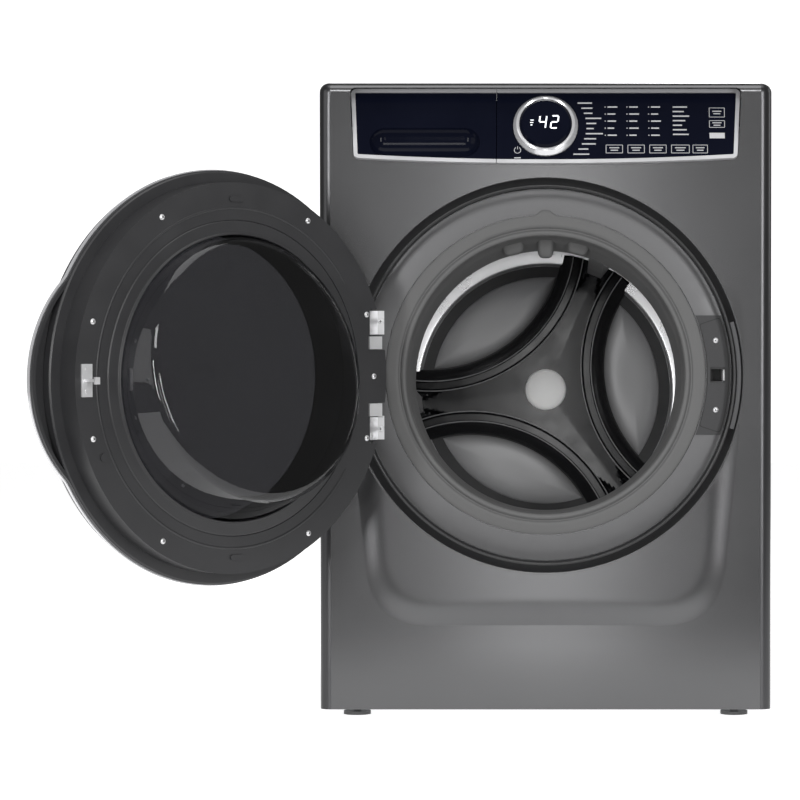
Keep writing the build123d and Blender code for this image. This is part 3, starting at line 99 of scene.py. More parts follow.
FRONT = stand((0, FRONT_Y, MOUTH_Z), RIGHT, TO_VIEWER)
PLATE = stand(DRUM_AT, RIGHT, TO_VIEWER)
TUB = stand(DRUM_AT, RIGHT, -DRUM_AXIS)
CONSOLE = stand(joint("selector_turn")["pos_m"], RIGHT, joint("selector_turn")["axis"])
REAR = stand((0, REAR_Y, 0), -RIGHT, -TO_VIEWER)
DOOR_X = Vector((math.cos(SHUT_ANGLE), -math.sin(SHUT_ANGLE), 0))
DOOR_OUT = Vector((-math.sin(SHUT_ANGLE), -math.cos(SHUT_ANGLE), 0))
DOOR = stand(HINGE_AT - HINGE_AT.x * DOOR_X - RIM_SET * DOOR_OUT, DOOR_X, DOOR_OUT)


# Sizes and colours that a user may change


class WasherSizes(PropertyGroup):
    emboss: FloatProperty(
        name="Front emboss", description="Height of the raised field of the front",
        default=3.0 * MM, min=0.0, max=6.0 * MM, unit="LENGTH")
    screw_head: FloatProperty(
        name="Screw head", description="Radius of the pan heads",
        default=4.4 * MM, min=2.0 * MM, max=8.0 * MM, unit="LENGTH")
    hole: FloatProperty(
        name="Drum hole", description="Radius of the drum's perforations",
        default=1.9 * MM, min=1.0 * MM, max=4.0 * MM, unit="LENGTH")
    hole_pitch: FloatProperty(
        name="Hole pitch", description="Distance between perforations",
        default=26.0 * MM, min=12.0 * MM, max=60.0 * MM, unit="LENGTH")
    star_height: FloatProperty(
        name="Star height", description="Height of the three-armed star at the drum's back",
        default=24.0 * MM, min=10.0 * MM, max=30.0 * MM, unit="LENGTH")
    petal_height: FloatProperty(
        name="Petal height", description="Crown of the plates between the star's arms",
        default=14.0 * MM, min=4.0 * MM, max=20.0 * MM, unit="LENGTH")
    print_height: FloatProperty(
        name="Print height", description="How far the printed marks stand proud",
        default=0.15 * MM, min=0.05 * MM, max=1.0 * MM, unit="LENGTH")
    round_steps: IntProperty(
        name="Round steps", description="Sides of a turned piece", default=160, min=48, max=256)


def colour_prop(name, description, default):
    return FloatVectorProperty(
        name=name, description=description, default=default, subtype="COLOR", size=3,
        min=0.0, max=1.0)


class WasherColours(PropertyGroup):
    paint: colour_prop(
        "Front paint", "Metallic paint of the front and the lid", (0.125, 0.125, 0.128))
    # Darker than the front paint: this is painted shade on the side panels and their round front
    # edges.
    shaded_side_paint: colour_prop("Side paint", "Metallic paint of the side panels", (0.07, 0.07, 0.073))
    ring: colour_prop("Ring", "Satin plastic round the dish", (0.014, 0.014, 0.015))
    door: colour_prop("Door", "Moulded plastic of the door", (0.03, 0.03, 0.032))
    rubber: colour_prop("Rubber", "Door gasket", (0.13, 0.13, 0.13))
    steel: colour_prop("Steel", "Stainless sheet of the drum", (0.74, 0.74, 0.75))
    star: colour_prop("Star", "Glossy plastic star of the drum", (0.007, 0.007, 0.008))
    hub: colour_prop("Hub", "Cap in the middle of the star", (0.96, 0.96, 0.95))
    console: colour_prop("Console", "Glossy plate of the console", (0.004, 0.005, 0.012))
    chrome: colour_prop("Trim", "Bright trim", (0.8, 0.8, 0.82))
    zinc: colour_prop("Zinc", "Plated hinges and screws", (0.82, 0.82, 0.83))
    marks: colour_prop("Print", "Printed marks", (0.5, 0.5, 0.52))
    glass: colour_prop("Glass", "Smoked glass of the door", (0.14, 0.14, 0.148))
    pale: colour_prop("Pale plastic", "Drawer tray and fittings", (0.68, 0.68, 0.66))
    sheet: colour_prop("Plated sheet", "Back and base of the cabinet", (0.46, 0.47, 0.48))


def sizes():
    return bpy.context.scene.washer_sizes


# Finishes

FINISHES = {}
EVEN = (1, 1, 1)
MIX_A, MIX_B, MIX_RESULT = 6, 7, 2  # the colour sockets of a mix node
NOISE_LOW, NOISE_HIGH = 0.3, 0.7  # most of the noise lies between these
DRIFT_DETAIL, FINE_DETAIL = 4.0, 2.0
RELIEF = 0.2 * MM


def grey(value):
    return (value, value, value)


def shade(colour, factor):
    return [factor * part for part in colour]


def set_inputs(node, inputs):
    """Sets sockets by name, with _ for each space."""
    for name, value in inputs.items():
        node.inputs[name.replace("_", " ")].default_value = value


def add_node(tree, kind, **inputs):
    made = tree.nodes.new(kind)
    set_inputs(made, inputs)
    return made


def link(tree, *rows):
    """Links from rows of (node, its output, node, its input)."""
    for start, output, end, socket in rows:
        tree.links.new(start.outputs[output], end.inputs[socket])


def noise_from(tree, coords, scale, detail, stretch):
    spread = add_node(tree, "ShaderNodeMapping", Scale=stretch)
    grain = add_node(tree, "ShaderNodeTexNoise", Scale=scale, Detail=detail)
    link(tree, (coords, "Object", spread, "Vector"), (spread, "Vector", grain, "Vector"))
    return grain


def finish(name, colour, vary, scale, rough, bump, bump_scale=1200, stretch=EVEN, **sockets):
    """A procedural finish: colour and roughness drift, and a fine relief."""
    made = bpy.data.materials.new(name)
    made.use_nodes = True
    tree = made.node_tree
    shader = tree.nodes["Principled BSDF"]
    coords = add_node(tree, "ShaderNodeTexCoord")
    drift = noise_from(tree, coords, scale, DRIFT_DETAIL, stretch)
    fine = noise_from(tree, coords, bump_scale, FINE_DETAIL, stretch)

    blend = add_node(tree, "ShaderNodeMix")
    blend.data_type = "RGBA"
    blend.inputs[MIX_A].default_value = (*[c * (1 - vary) for c in colour], 1)
    blend.inputs[MIX_B].default_value = (*[min(1, c * (1 + vary)) for c in colour], 1)
    gloss = add_node(tree, "ShaderNodeMapRange", From_Min=NOISE_LOW, From_Max=NOISE_HIGH,
                     To_Min=rough[0], To_Max=rough[1])
    relief = add_node(tree, "ShaderNodeBump", Strength=bump, Distance=RELIEF)
    link(tree, (drift, 0, blend, 0), (blend, MIX_RESULT, shader, "Base Color"),
         (drift if stretch == EVEN else fine, 0, gloss, "Value"), (gloss, 0, shader, "Roughness"),
         (fine, 0, relief, "Height"), (relief, "Normal", shader, "Normal"))

    set_inputs(shader, sockets)
    FINISHES[name] = made
    return made


def make_finishes():
    c = bpy.context.scene.washer_colours
    # name, colour, drift, drift scale, roughness, relief, relief scale
    finish("front_paint", c.paint, 0.05, 9, (0.2, 0.21), 0.0015, 60, Metallic=0.9, Coat_Weight=0.1,
           Coat_Roughness=0.2)
    # The side paint is a darker copy of the front paint: painted shade.
    finish("shaded_side_paint", c.shaded_side_paint, 0.05, 9, (0.28, 0.3), 0.002, 60, Metallic=0.9,
           Coat_Weight=0.1, Coat_Roughness=0.25)
    finish("ring_plastic", c.ring, 0.2, 25, (0.34, 0.46), 0.08, 1500)
    finish("dish_paint", shade(c.paint, 1.1), 0.06, 60, (0.4, 0.48), 0.02, 900, Metallic=0.3)
    finish("grip_plastic", shade(c.door, 1.6), 0.12, 25, (0.36, 0.46), 0.06)
    finish("door_plastic", c.door, 0.12, 18, (0.36, 0.46), 0.1, 1400)
    finish("gasket_rubber", c.rubber, 0.14, 14, (0.46, 0.6), 0.12, 700, Specular_IOR_Level=0.4)
    finish("dark_rubber", grey(0.012), 0.25, 20, (0.5, 0.62), 0.1)
    finish("drum_steel", c.steel, 0.05, 12, (0.26, 0.34), 0.004, 160, stretch=(0.04, 1, 0.04),
           Metallic=0.8)
    # The petals take the drum's steel at half its brightness: painted shade at the back of the
    # drum.
    finish("shaded_petal_steel", shade(c.steel, 0.5), 0.08, 9, (0.48, 0.56), 0.03, 500, Metallic=0.45)
    finish("star_plastic", c.star, 0.2, 30, (0.1, 0.16), 0.015, 400, Specular_IOR_Level=0.36)
    # Light grey lines on the black star: painted highlights on its ridges.
    finish("ridge_highlight_plastic", (0.22, 0.22, 0.225), 0.1, 60, (0.25, 0.32), 0.01)
    # Near-black plastic for a disc on the drum's back: painted shade in the gap round the petals
    # and the star.
    finish("shade_disc_plastic", (0.016, 0.016, 0.017), 0.2, 40, (0.5, 0.6), 0.05)
    finish("hub_plastic", c.hub, 0.04, 30, (0.3, 0.4), 0.03)
    finish("lifter_plastic", grey(0.24), 0.1, 25, (0.36, 0.46), 0.06)
    finish("console_gloss", c.console, 0.18, 14, (0.1, 0.16), 0.01, 300, Specular_IOR_Level=0.07)
    finish("chrome", c.chrome, 0.04, 20, (0.14, 0.2), 0.002, 600, Metallic=0.5)
    finish("zinc", c.zinc, 0.04, 60, (0.3, 0.38), 0.006, 600, Metallic=0.65)
    finish("print", c.marks, 0.1, 300, (0.45, 0.55), 0.03)
    finish("lit_marks", (0.9, 0.92, 0.95), 0.04, 200, (0.4, 0.5), 0.02,
           Emission_Color=(0.9, 0.95, 1.0, 1), Emission_Strength=0.9)
    finish("smoked_glass", c.glass, 0.05, 6, (0.004, 0.012), 0.002, 12, Transmission_Weight=1.0,
           IOR=1.45)
    finish("pale_plastic", c.pale, 0.05, 25, (0.38, 0.48), 0.06)
    finish("tub_plastic", (0.48, 0.48, 0.46), 0.08, 25, (0.42, 0.52), 0.08)
    finish("plated_sheet", c.sheet, 0.16, 55, (0.34, 0.5), 0.05, 800, Metallic=0.8)
    finish("cast_metal", (0.42, 0.42, 0.43), 0.14, 60, (0.42, 0.55), 0.2, 500, Metallic=0.9)
    finish("iron", grey(0.12), 0.2, 60, (0.55, 0.7), 0.3, 400)
    finish("board", (0.02, 0.16, 0.07), 0.2, 120, (0.25, 0.4), 0.05)
    finish("foot_plastic", grey(0.12), 0.12, 80, (0.4, 0.52), 0.12)
    # Near-black for the latch cover's joint line, and painted shade in the drum's holes and the
    # screws' cross recesses.
    finish("joint_line_and_hollow_shade", grey(0.006), 0.2, 200, (0.5, 0.6), 0.05)


def dress(mesh, finish_name):
    mesh.materials.clear()
    mesh.materials.append(FINISHES[finish_name])


# Mesh makers

WELD = 0.005 * MM
SLIVER = 0.004 * MM


def new_object(name, data):
    made = bpy.data.objects.new(name, data)
    bpy.context.collection.objects.link(made)
    return made


def keep(name, mesh, finish_name, body, smooth=34):
    """Cleans a finished mesh, gives it its finish and rides it on its body."""
    sculpt = bmesh.new()
    sculpt.from_mesh(mesh)
    bmesh.ops.remove_doubles(sculpt, verts=sculpt.verts, dist=WELD)
    bmesh.ops.dissolve_degenerate(sculpt, edges=sculpt.edges, dist=SLIVER)
    bmesh.ops.recalc_face_normals(sculpt, faces=sculpt.faces)
    sculpt.to_mesh(mesh)
    sculpt.free()
    mesh.polygons.foreach_set("use_smooth", [True] * len(mesh.polygons))
    mesh.set_sharp_from_angle(angle=math.radians(smooth))
    dress(mesh, finish_name)
    piece = new_object(name, mesh)
    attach(piece, body)
    return piece


def mm(points):
    """Points written in millimetres, in metres."""
    return [tuple(v * MM for v in point) for point in points]


def share(value):
    return max(0, min(1, value))


def mesh_of(name, where, verts, faces):
    mesh = bpy.data.meshes.new(name)
    mesh.from_pydata([where @ Vector(v) for v in verts], [], faces)
    return mesh


def grid_faces(rows, size, closed=False, ringed=False):
    """Faces between rows of points: closed joins the last row to the first, ringed each row's
    last point to its first."""
    faces = []
    for i in range(rows if closed else rows - 1):
        here, there = i * size, (i + 1) % rows * size
        for k in range(size if ringed else size - 1):
            nxt = (k + 1) % size
            faces.append((here + k, here + nxt, there + nxt, there + k))
    return faces


def end_faces(rows, size):
    return [tuple(range(size)), tuple(range((rows - 1) * size, rows * size))]


def polar(radius, angle):
    return radius * math.cos(angle), radius * math.sin(angle)


def cosine(a, b, opposite):
    """Of the angle between the sides a and b of a triangle, by its third side."""
    return (a ** 2 + b ** 2 - opposite ** 2) / (2 * a * b)


def soften(points, radius, steps=3):
    """Rounds the corners of a closed outline by at most radius."""
    count = len(points)
    rounded = []
    for i, corner in enumerate(points):
        corner = Vector(corner)
        back = Vector(points[i - 1]) - corner
        ahead = Vector(points[(i + 1) % count]) - corner
        reach = min(radius, 0.45 * back.length, 0.45 * ahead.length)
        start = corner + back.normalized() * reach
        end = corner + ahead.normalized() * reach
        for k in range(steps + 1):
            t = k / steps
            rounded.append(start.lerp(corner, t).lerp(corner.lerp(end, t), t))
    return rounded


def turned(profile, where, arc=(0, 360), steps=None, shape=None):
    """Sweeps a closed (radius, height) profile round a frame's z axis."""
    steps = steps or sizes().round_steps
    whole = abs(arc[1] - arc[0]) >= 360
    rings = steps if whole else steps + 1
    verts = []
    for i in range(rings):
        angle = math.radians(arc[0] + (arc[1] - arc[0]) * i / steps)
        for radius, height in profile:
            if shape:
                radius, height = shape(radius, height, angle)
            verts.append((*polar(radius, angle), height))
    faces = grid_faces(rings, len(profile), closed=whole, ringed=True)
    if not whole:
        faces += end_faces(rings, len(profile))
    return mesh_of("turned", where, verts, faces)


def stacked(rings, where, caps=(True, True)):
    """Joins outlines of equal count, one above the other, into a shell."""
    count = len(rings[0])
    verts = [v for ring in rings for v in ring]
    faces = grid_faces(len(rings), count, ringed=True)
    faces += [end for end, wanted in zip(end_faces(len(rings), count), caps) if wanted]
    return mesh_of("stacked", where, verts, faces)


def layers(outline_at, levels):
    """Rings for stacked: outline_at(inset) at each (inset, height) in millimetres."""
    return [[(*p, height * MM) for p in outline_at(inset)] for inset, height in levels]


def round_box(width, height, radius, centre=(0, 0), steps=5):
    """Outline of a rectangle with round corners."""
    half_w, half_h = width / 2, height / 2
    corners = [(half_w, half_h), (-half_w, half_h), (-half_w, -half_h), (half_w, -half_h)]
    return [Vector((p.x + centre[0], p.y + centre[1])) for p in soften(corners, radius, steps)]


def joined(*meshes):
    """One mesh made of several, which are used up."""
    sculpt = bmesh.new()
    for mesh in meshes:
        sculpt.from_mesh(mesh)
        bpy.data.meshes.remove(mesh)
    whole = bpy.data.meshes.new("joined")
    sculpt.to_mesh(whole)
    sculpt.free()
    return whole


# Geometry node trees for what repeats

POINT_VECTOR = "facing"  # the way a copy faces, or the size of a bar


def new_tree(name, **inputs):
    tree = bpy.data.node_groups.new(name, "GeometryNodeTree")
    tree.interface.new_socket("Geometry", in_out="INPUT", socket_type="NodeSocketGeometry")
    for label, kind in inputs.items():
        tree.interface.new_socket(label, in_out="INPUT", socket_type="NodeSocket" + kind)
    tree.interface.new_socket("Geometry", in_out="OUTPUT", socket_type="NodeSocketGeometry")
    return tree, tree.nodes.new("NodeGroupInput"), tree.nodes.new("NodeGroupOutput")


def point_vectors(tree):
    """The vector that each point carries."""
    carried = add_node(tree, "GeometryNodeInputNamedAttribute", Name=POINT_VECTOR)
    carried.data_type = "FLOAT_VECTOR"
    return carried


def end_tree(tree, source, ends, place):
    """Every tree ends in real geometry with its finish set."""
    real = add_node(tree, "GeometryNodeRealizeInstances")
    coat = add_node(tree, "GeometryNodeSetMaterial")
    link(tree, (place, "Instances", real, "Geometry"), (real, "Geometry", coat, "Geometry"),
         (source, "Finish", coat, "Material"), (coat, "Geometry", ends, "Geometry"))


def copies_tree():
    """Copies of one shape on points, each turned to face the point's own way."""
    tree, source, ends = new_tree("copies_on_points", Shape="Object", Finish="Material")
    shape = add_node(tree, "GeometryNodeObjectInfo")
    turn = add_node(tree, "FunctionNodeAlignRotationToVector")
    turn.axis = "Z"
    place = add_node(tree, "GeometryNodeInstanceOnPoints")
    link(tree, (source, "Shape", shape, "Object"), (point_vectors(tree), 0, turn, "Vector"),
         (source, "Geometry", place, "Points"), (shape, "Geometry", place, "Instance"),
         (turn, "Rotation", place, "Rotation"))
    end_tree(tree, source, ends, place)
    return tree


def bars_tree():
    """Flat printed bars on points, each as long and high as the point says."""
    tree, source, ends = new_tree("printed_bars", Thickness="Float", Finish="Material")
    bar = add_node(tree, "GeometryNodeMeshCube")
    split = add_node(tree, "ShaderNodeSeparateXYZ")
    whole = add_node(tree, "ShaderNodeCombineXYZ")
    place = add_node(tree, "GeometryNodeInstanceOnPoints")
    link(tree, (point_vectors(tree), 0, split, 0), (split, "X", whole, "X"),
         (split, "Y", whole, "Y"), (source, "Thickness", whole, "Z"),
         (source, "Geometry", place, "Points"), (bar, "Mesh", place, "Instance"),
         (whole, "Vector", place, "Scale"))
    end_tree(tree, source, ends, place)
    return tree


def grown(tree, points, vectors, values):
    """Runs a tree on points with a vector each, and returns the plain mesh."""
    seed = bpy.data.meshes.new("seed")
    seed.from_pydata(points, [], [])
    carried = seed.attributes.new(POINT_VECTOR, "FLOAT_VECTOR", "POINT")
    carried.data.foreach_set("vector", [n for v in vectors for n in v])
    holder = new_object("seed", seed)
    growth = holder.modifiers.new("growth", "NODES")
    growth.node_group = tree
    for item in tree.interface.items_tree:
        if item.in_out == "INPUT" and item.name in values:
            growth[item.identifier] = values[item.name]
    graph = bpy.context.evaluated_depsgraph_get()
    mesh = bpy.data.meshes.new_from_object(holder.evaluated_get(graph))
    holder.modifiers.clear()
    bpy.data.objects.remove(holder)
    return mesh


def keep_copies(name, shape_mesh, points, facings, finish_name, body):
    """Keeps a piece that is one shape on many points."""
    shape = new_object("shape", shape_mesh)
    tree = bpy.data.node_groups.get("copies_on_points") or copies_tree()
    mesh = grown(tree, points, facings, {"Shape": shape, "Finish": FINISHES[finish_name]})
    bpy.data.objects.remove(shape)
    return keep(name, mesh, finish_name, body)


def bars(rows, up, where, finish_name, thickness):
    """Bars from rows of (x, y, length, height) in millimetres, at height up in a frame."""
    tree = bpy.data.node_groups.get("printed_bars") or bars_tree()
    points = [(x * MM, y * MM, up) for x, y, _, _ in rows]
    spans = [(length * MM, height * MM, 1) for _, _, length, height in rows]
    values = {"Thickness": thickness, "Finish": FINISHES[finish_name]}
    mesh = grown(tree, points, spans, values)
    mesh.transform(where)
    return mesh


# A screw head in shares of its radius
HEAD_DOME = ((0, 0.52), (0.5, 0.47), (0.8, 0.33), (0.97, 0.12), (1.0, 0.0), (0, 0))
RECESS_ARMS = ((0.9, 0.2), (0.2, 0.9))
RECESS_CORNER = 0.06
RECESS_LEVELS = (0.3, 0.53)


def pan_head(radius):
    """A domed screw head with a cross recess, standing on z = 0."""
    head = turned([(r * radius, z * radius) for r, z in HEAD_DOME], ORIGIN, steps=20)
    arms = []
    for wide, high in RECESS_ARMS:
        outline = round_box(wide * radius, high * radius, RECESS_CORNER * radius, steps=2)
        rings = [[(p.x, p.y, z * radius) for p in outline] for z in RECESS_LEVELS]
        arms.append(stacked(rings, ORIGIN))
    return head, joined(*arms)


def screws(name, node, where, spots, body):
    """Pan head screws that stand for a CAD node of plain ones, at spots in millimetres."""
    head, cross = pan_head(sizes().screw_head)
    points = [where @ (Vector(s) * MM) for s in spots]
    ways = [where.to_3x3() @ UP] * len(points)
    heads = keep_copies(name, head, points, ways, "zinc", body)
    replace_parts(heads, node)
    # The cross is near-black and stands just out of the head: painted shade for the recess.
    keep_copies(name + "_recess", cross, points, ways, "joint_line_and_hollow_shade", body)


# Operators, one for each piece or group of like pieces


class PieceOperator(Operator):
    bl_options = {"REGISTER", "UNDO"}

    def execute(self, context):
        self.build()
        return {"FINISHED"}


class WASHER_OT_finishes(PieceOperator):
    """Makes the finishes and coats every CAD node with one"""

    bl_idname = "washer.finishes"
    bl_label = "Finishes"

    COATS = {
        "front_paint": "front_panel top_panel",
        "shaded_side_paint": "side_panel_left side_panel_right",
        "plated_sheet": "base_pan rear_panel rear_access_cover cross_rail",
        "ring_plastic": "door_surround_ring transit_bolt_caps cord_gland",
        "zinc": (
            "cabinet_screws plate_screws door_screws foot_lock_nuts hinge_brackets hinge_arms "
            "door_strike latch_pawl gasket_clamp tub_springs drum_bearings"
        ),
        "foot_plastic": "foot_front_left foot_front_right foot_rear_left foot_rear_right",
        "console_gloss": "console_panel display_bezel display_lens drawer_front",
        "chrome": "console_trim drawer_trim selector_ring door_trim_ring",
        "board": "control_board",
        "pale_plastic": "drawer_tray dispenser_housing inlet_valve drain_spigot drain_pump",
        "door_plastic": "latch_cover latch_body door_outer_shell door_inner_frame",
        "smoked_glass": "door_window door_glass_bowl",
        "gasket_rubber": "door_gasket",
        "tub_plastic": "tub_front tub_rear",
        "iron": "counterweight",
        "cast_metal": "tub_dampers drum_spider drum_pulley motor_body motor_pulley",
        "drum_steel": "drum_basket",
        "star_plastic": "drum_star",
        "hub_plastic": "hub_cap",
        "lifter_plastic": "drum_baffles",
        "dark_rubber": "drive_belt",
    }

    def build(self):
        make_finishes()
        for finish_name, nodes in self.COATS.items():
            for node in nodes.split():
                dress(frame["nodes"][node].data, finish_name)


class WASHER_OT_front(PieceOperator):
    """Raises the shield-shaped field pressed into the front sheet"""

    bl_idname = "washer.front"
    bl_label = "Front Emboss"

    CORNERS = ((312, 313), (-312, 313), (-314, 30), (-268, -386), (268, -386), (314, 30))

    def build(self):
        height = sizes().emboss
        inner, least, sunk = DISH_R + 2.5 * MM, 4 * MM, 0.15 * MM
        steps, rings, ramp = 240, 16, 48 * MM
        fade_from, fade_over = 150 * MM, 300 * MM
        outline = soften(mm(self.CORNERS), 90 * MM, 10)
        verts = []
        for i in range(steps):
            way = Vector(polar(1, math.tau * i / steps))
            outer = max(self.reach(outline, way), inner + least)
            verts.append((*(way * inner), -0.5 * MM))
            for k in range(rings + 1):
                radius = inner + (outer - inner) * (k / rings) ** 0.7
                t = min(1, (outer - radius) / ramp)
                fade = share((fade_from - radius * way.y) / fade_over)
                verts.append((*(way * radius), fade * height * t * t * (3 - 2 * t) - sunk))
        faces = grid_faces(steps, rings + 2, closed=True)
        keep("front_emboss", mesh_of("emboss", FRONT, verts, faces), "front_paint",
             "cabinet")

    @staticmethod
    def reach(outline, way):
        """How far from the middle the outline lies in one direction."""
        side = Vector((-way.y, way.x))
        for k, start in enumerate(outline):
            end = outline[(k + 1) % len(outline)]
            a, b = start.dot(side), end.dot(side)
            if a <= 0 < b or b <= 0 < a:
                hit = start.lerp(end, a / (a - b)).dot(way)
                if hit > 0:
                    return hit
        raise RuntimeError("the emboss outline does not go round the dish")


class WASHER_OT_ring(PieceOperator):
    """Adds the ring's bead and grip stripe, the dish's face and the latch cover's outline"""

    bl_idname = "washer.ring"
    bl_label = "Dish Ring"

    BEAD = ((284.5, -6), (284.5, 0.6), (287, 1.4), (289, 0.8), (289, -6))
    FACE = ((282.8, -0.4), (282.8, 0.5), (282, 0.9), (245, 0.9), (244.6, -0.4))
    GRIP = ((290, -6), (290, 0.2), (291, 0.9), (296, 0.5), (297, -0.2), (297, -6))
    LINE = ((0, 2.6), (0, 3.3), (1.3, 3.3), (1.3, 2.6))

    def build(self):
        arc = 16  # degrees to either side of the latch
        keep("ring_bead", turned(soften(mm(self.BEAD), 0.8 * MM), FRONT), "ring_plastic",
             "cabinet")
        keep("dish_face", turned(mm(self.FACE), PLATE, arc=(arc, 360 - arc)), "dish_paint",
             "cabinet")
        mesh = turned(soften(mm(self.GRIP), 0.5 * MM), FRONT, arc=(-arc, arc), steps=40)
        keep("ring_grip", mesh, "grip_plastic", "cabinet")
        rings = layers(self.latch_edge, self.LINE)
        keep("latch_line", stacked(rings, PLATE, caps=(False, False)), "joint_line_and_hollow_shade",
             "cabinet")

    @staticmethod
    def latch_edge(inset):
        """Outline of the latch cover: two arcs joined by straight ends, with round corners."""
        inner, outer, arc, last = 246 + inset, 280 - inset, math.radians(18.4), 9
        outline = []
        for radius, turns in ((inner, range(-last, last + 1)), (outer, range(last, -last - 1, -1))):
            half = arc - inset / radius
            outline += [polar(radius * MM, half * k / last) for k in turns]
        return soften(outline, 6 * MM)


class WASHER_OT_gasket(PieceOperator):
    """Makes the folded door gasket with its moulded top and its nozzles"""

    bl_idname = "washer.gasket"
    bl_label = "Door Gasket"

    PROFILE = (
        (244, 0.2), (243.5, 1.8), (240, 2.6), (229, 3.0), (225, 2.6), (223.5, 0.4), (221.5, 0.2),
        (220, 2.8), (217, 4.0), (213.5, 2.8), (211.6, -1), (211.2, -7), (213, -12), (219, -13),
        (226, -14), (228, -18), (225, -24), (219, -30), (216, -40), (213, -50), (209, -58),
        (206, -70), (202, -84), (201, -91), (203, -94), (221, -94), (226, -89), (226, -73),
        (232, -60), (236, -40), (238, -20), (238, 0.2),
    )
    NOZZLES = ((90, 27, 30), (104, 36, 19), (76, 36, 19))  # angle, width, drop
    NOZZLE_TAPER = ((-0.3, 1), (0.5, 0.96), (0.8, 0.86), (0.95, 0.66), (1.0, 0.4))

    def build(self):
        profile = soften(mm(self.PROFILE), 3 * MM)
        mesh = turned(profile, ORIGIN, steps=256, shape=self.moulded)
        tilt_from, tilt_over, sag = 20 * MM, 52 * MM, 3.5 * MM
        for vert in mesh.vertices:
            depth = share((-vert.co.z - tilt_from) / tilt_over)
            vert.co = (PLATE @ vert.co).lerp(TUB @ vert.co, depth) - sag * depth * UP
        gasket = keep("gasket_bellows", mesh, "gasket_rubber", "cabinet", 50)
        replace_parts(gasket, "door_gasket")

        tips = [self.nozzle(math.radians(angle), wide * MM, drop * MM)
                for angle, wide, drop in self.NOZZLES]
        keep("gasket_nozzles", joined(*tips), "gasket_rubber", "cabinet", 50)

    @staticmethod
    def moulded(radius, height, angle):
        """Thickens the lip round the top and draws its tab out."""
        lip, lip_swell, lip_arc = 224 * MM, 1.9 * MM, 26
        tab, tab_reach, tab_arc = 238 * MM, 7 * MM, 3.2
        off_top = abs(math.degrees(angle) - 90)
        if height > 0 and radius > lip:
            swell = share((lip_arc - off_top) / 2.5)
            height += lip_swell * swell * min(1, (radius - lip) / (4 * MM))
            if radius > tab:
                radius += tab_reach * share((tab_arc - off_top) / 1.2)
        return radius, height

    def nozzle(self, angle, width, drop):
        """A round-tipped rubber spout that hangs inside the gasket."""
        root, depth, thick, corner = 214 * MM, 58 * MM, 22 * MM, 9 * MM
        out = Vector((*polar(1, angle), 0))
        where = TUB @ stand(root * out + Vector((0, 0, -depth)), out.cross(UP), -out)
        rings = []
        for t, shrink in self.NOZZLE_TAPER:
            outline = round_box(width * shrink, thick * shrink, corner * shrink)
            rings.append([(p.x, p.y, drop * t) for p in outline])
        return stacked(rings, where)


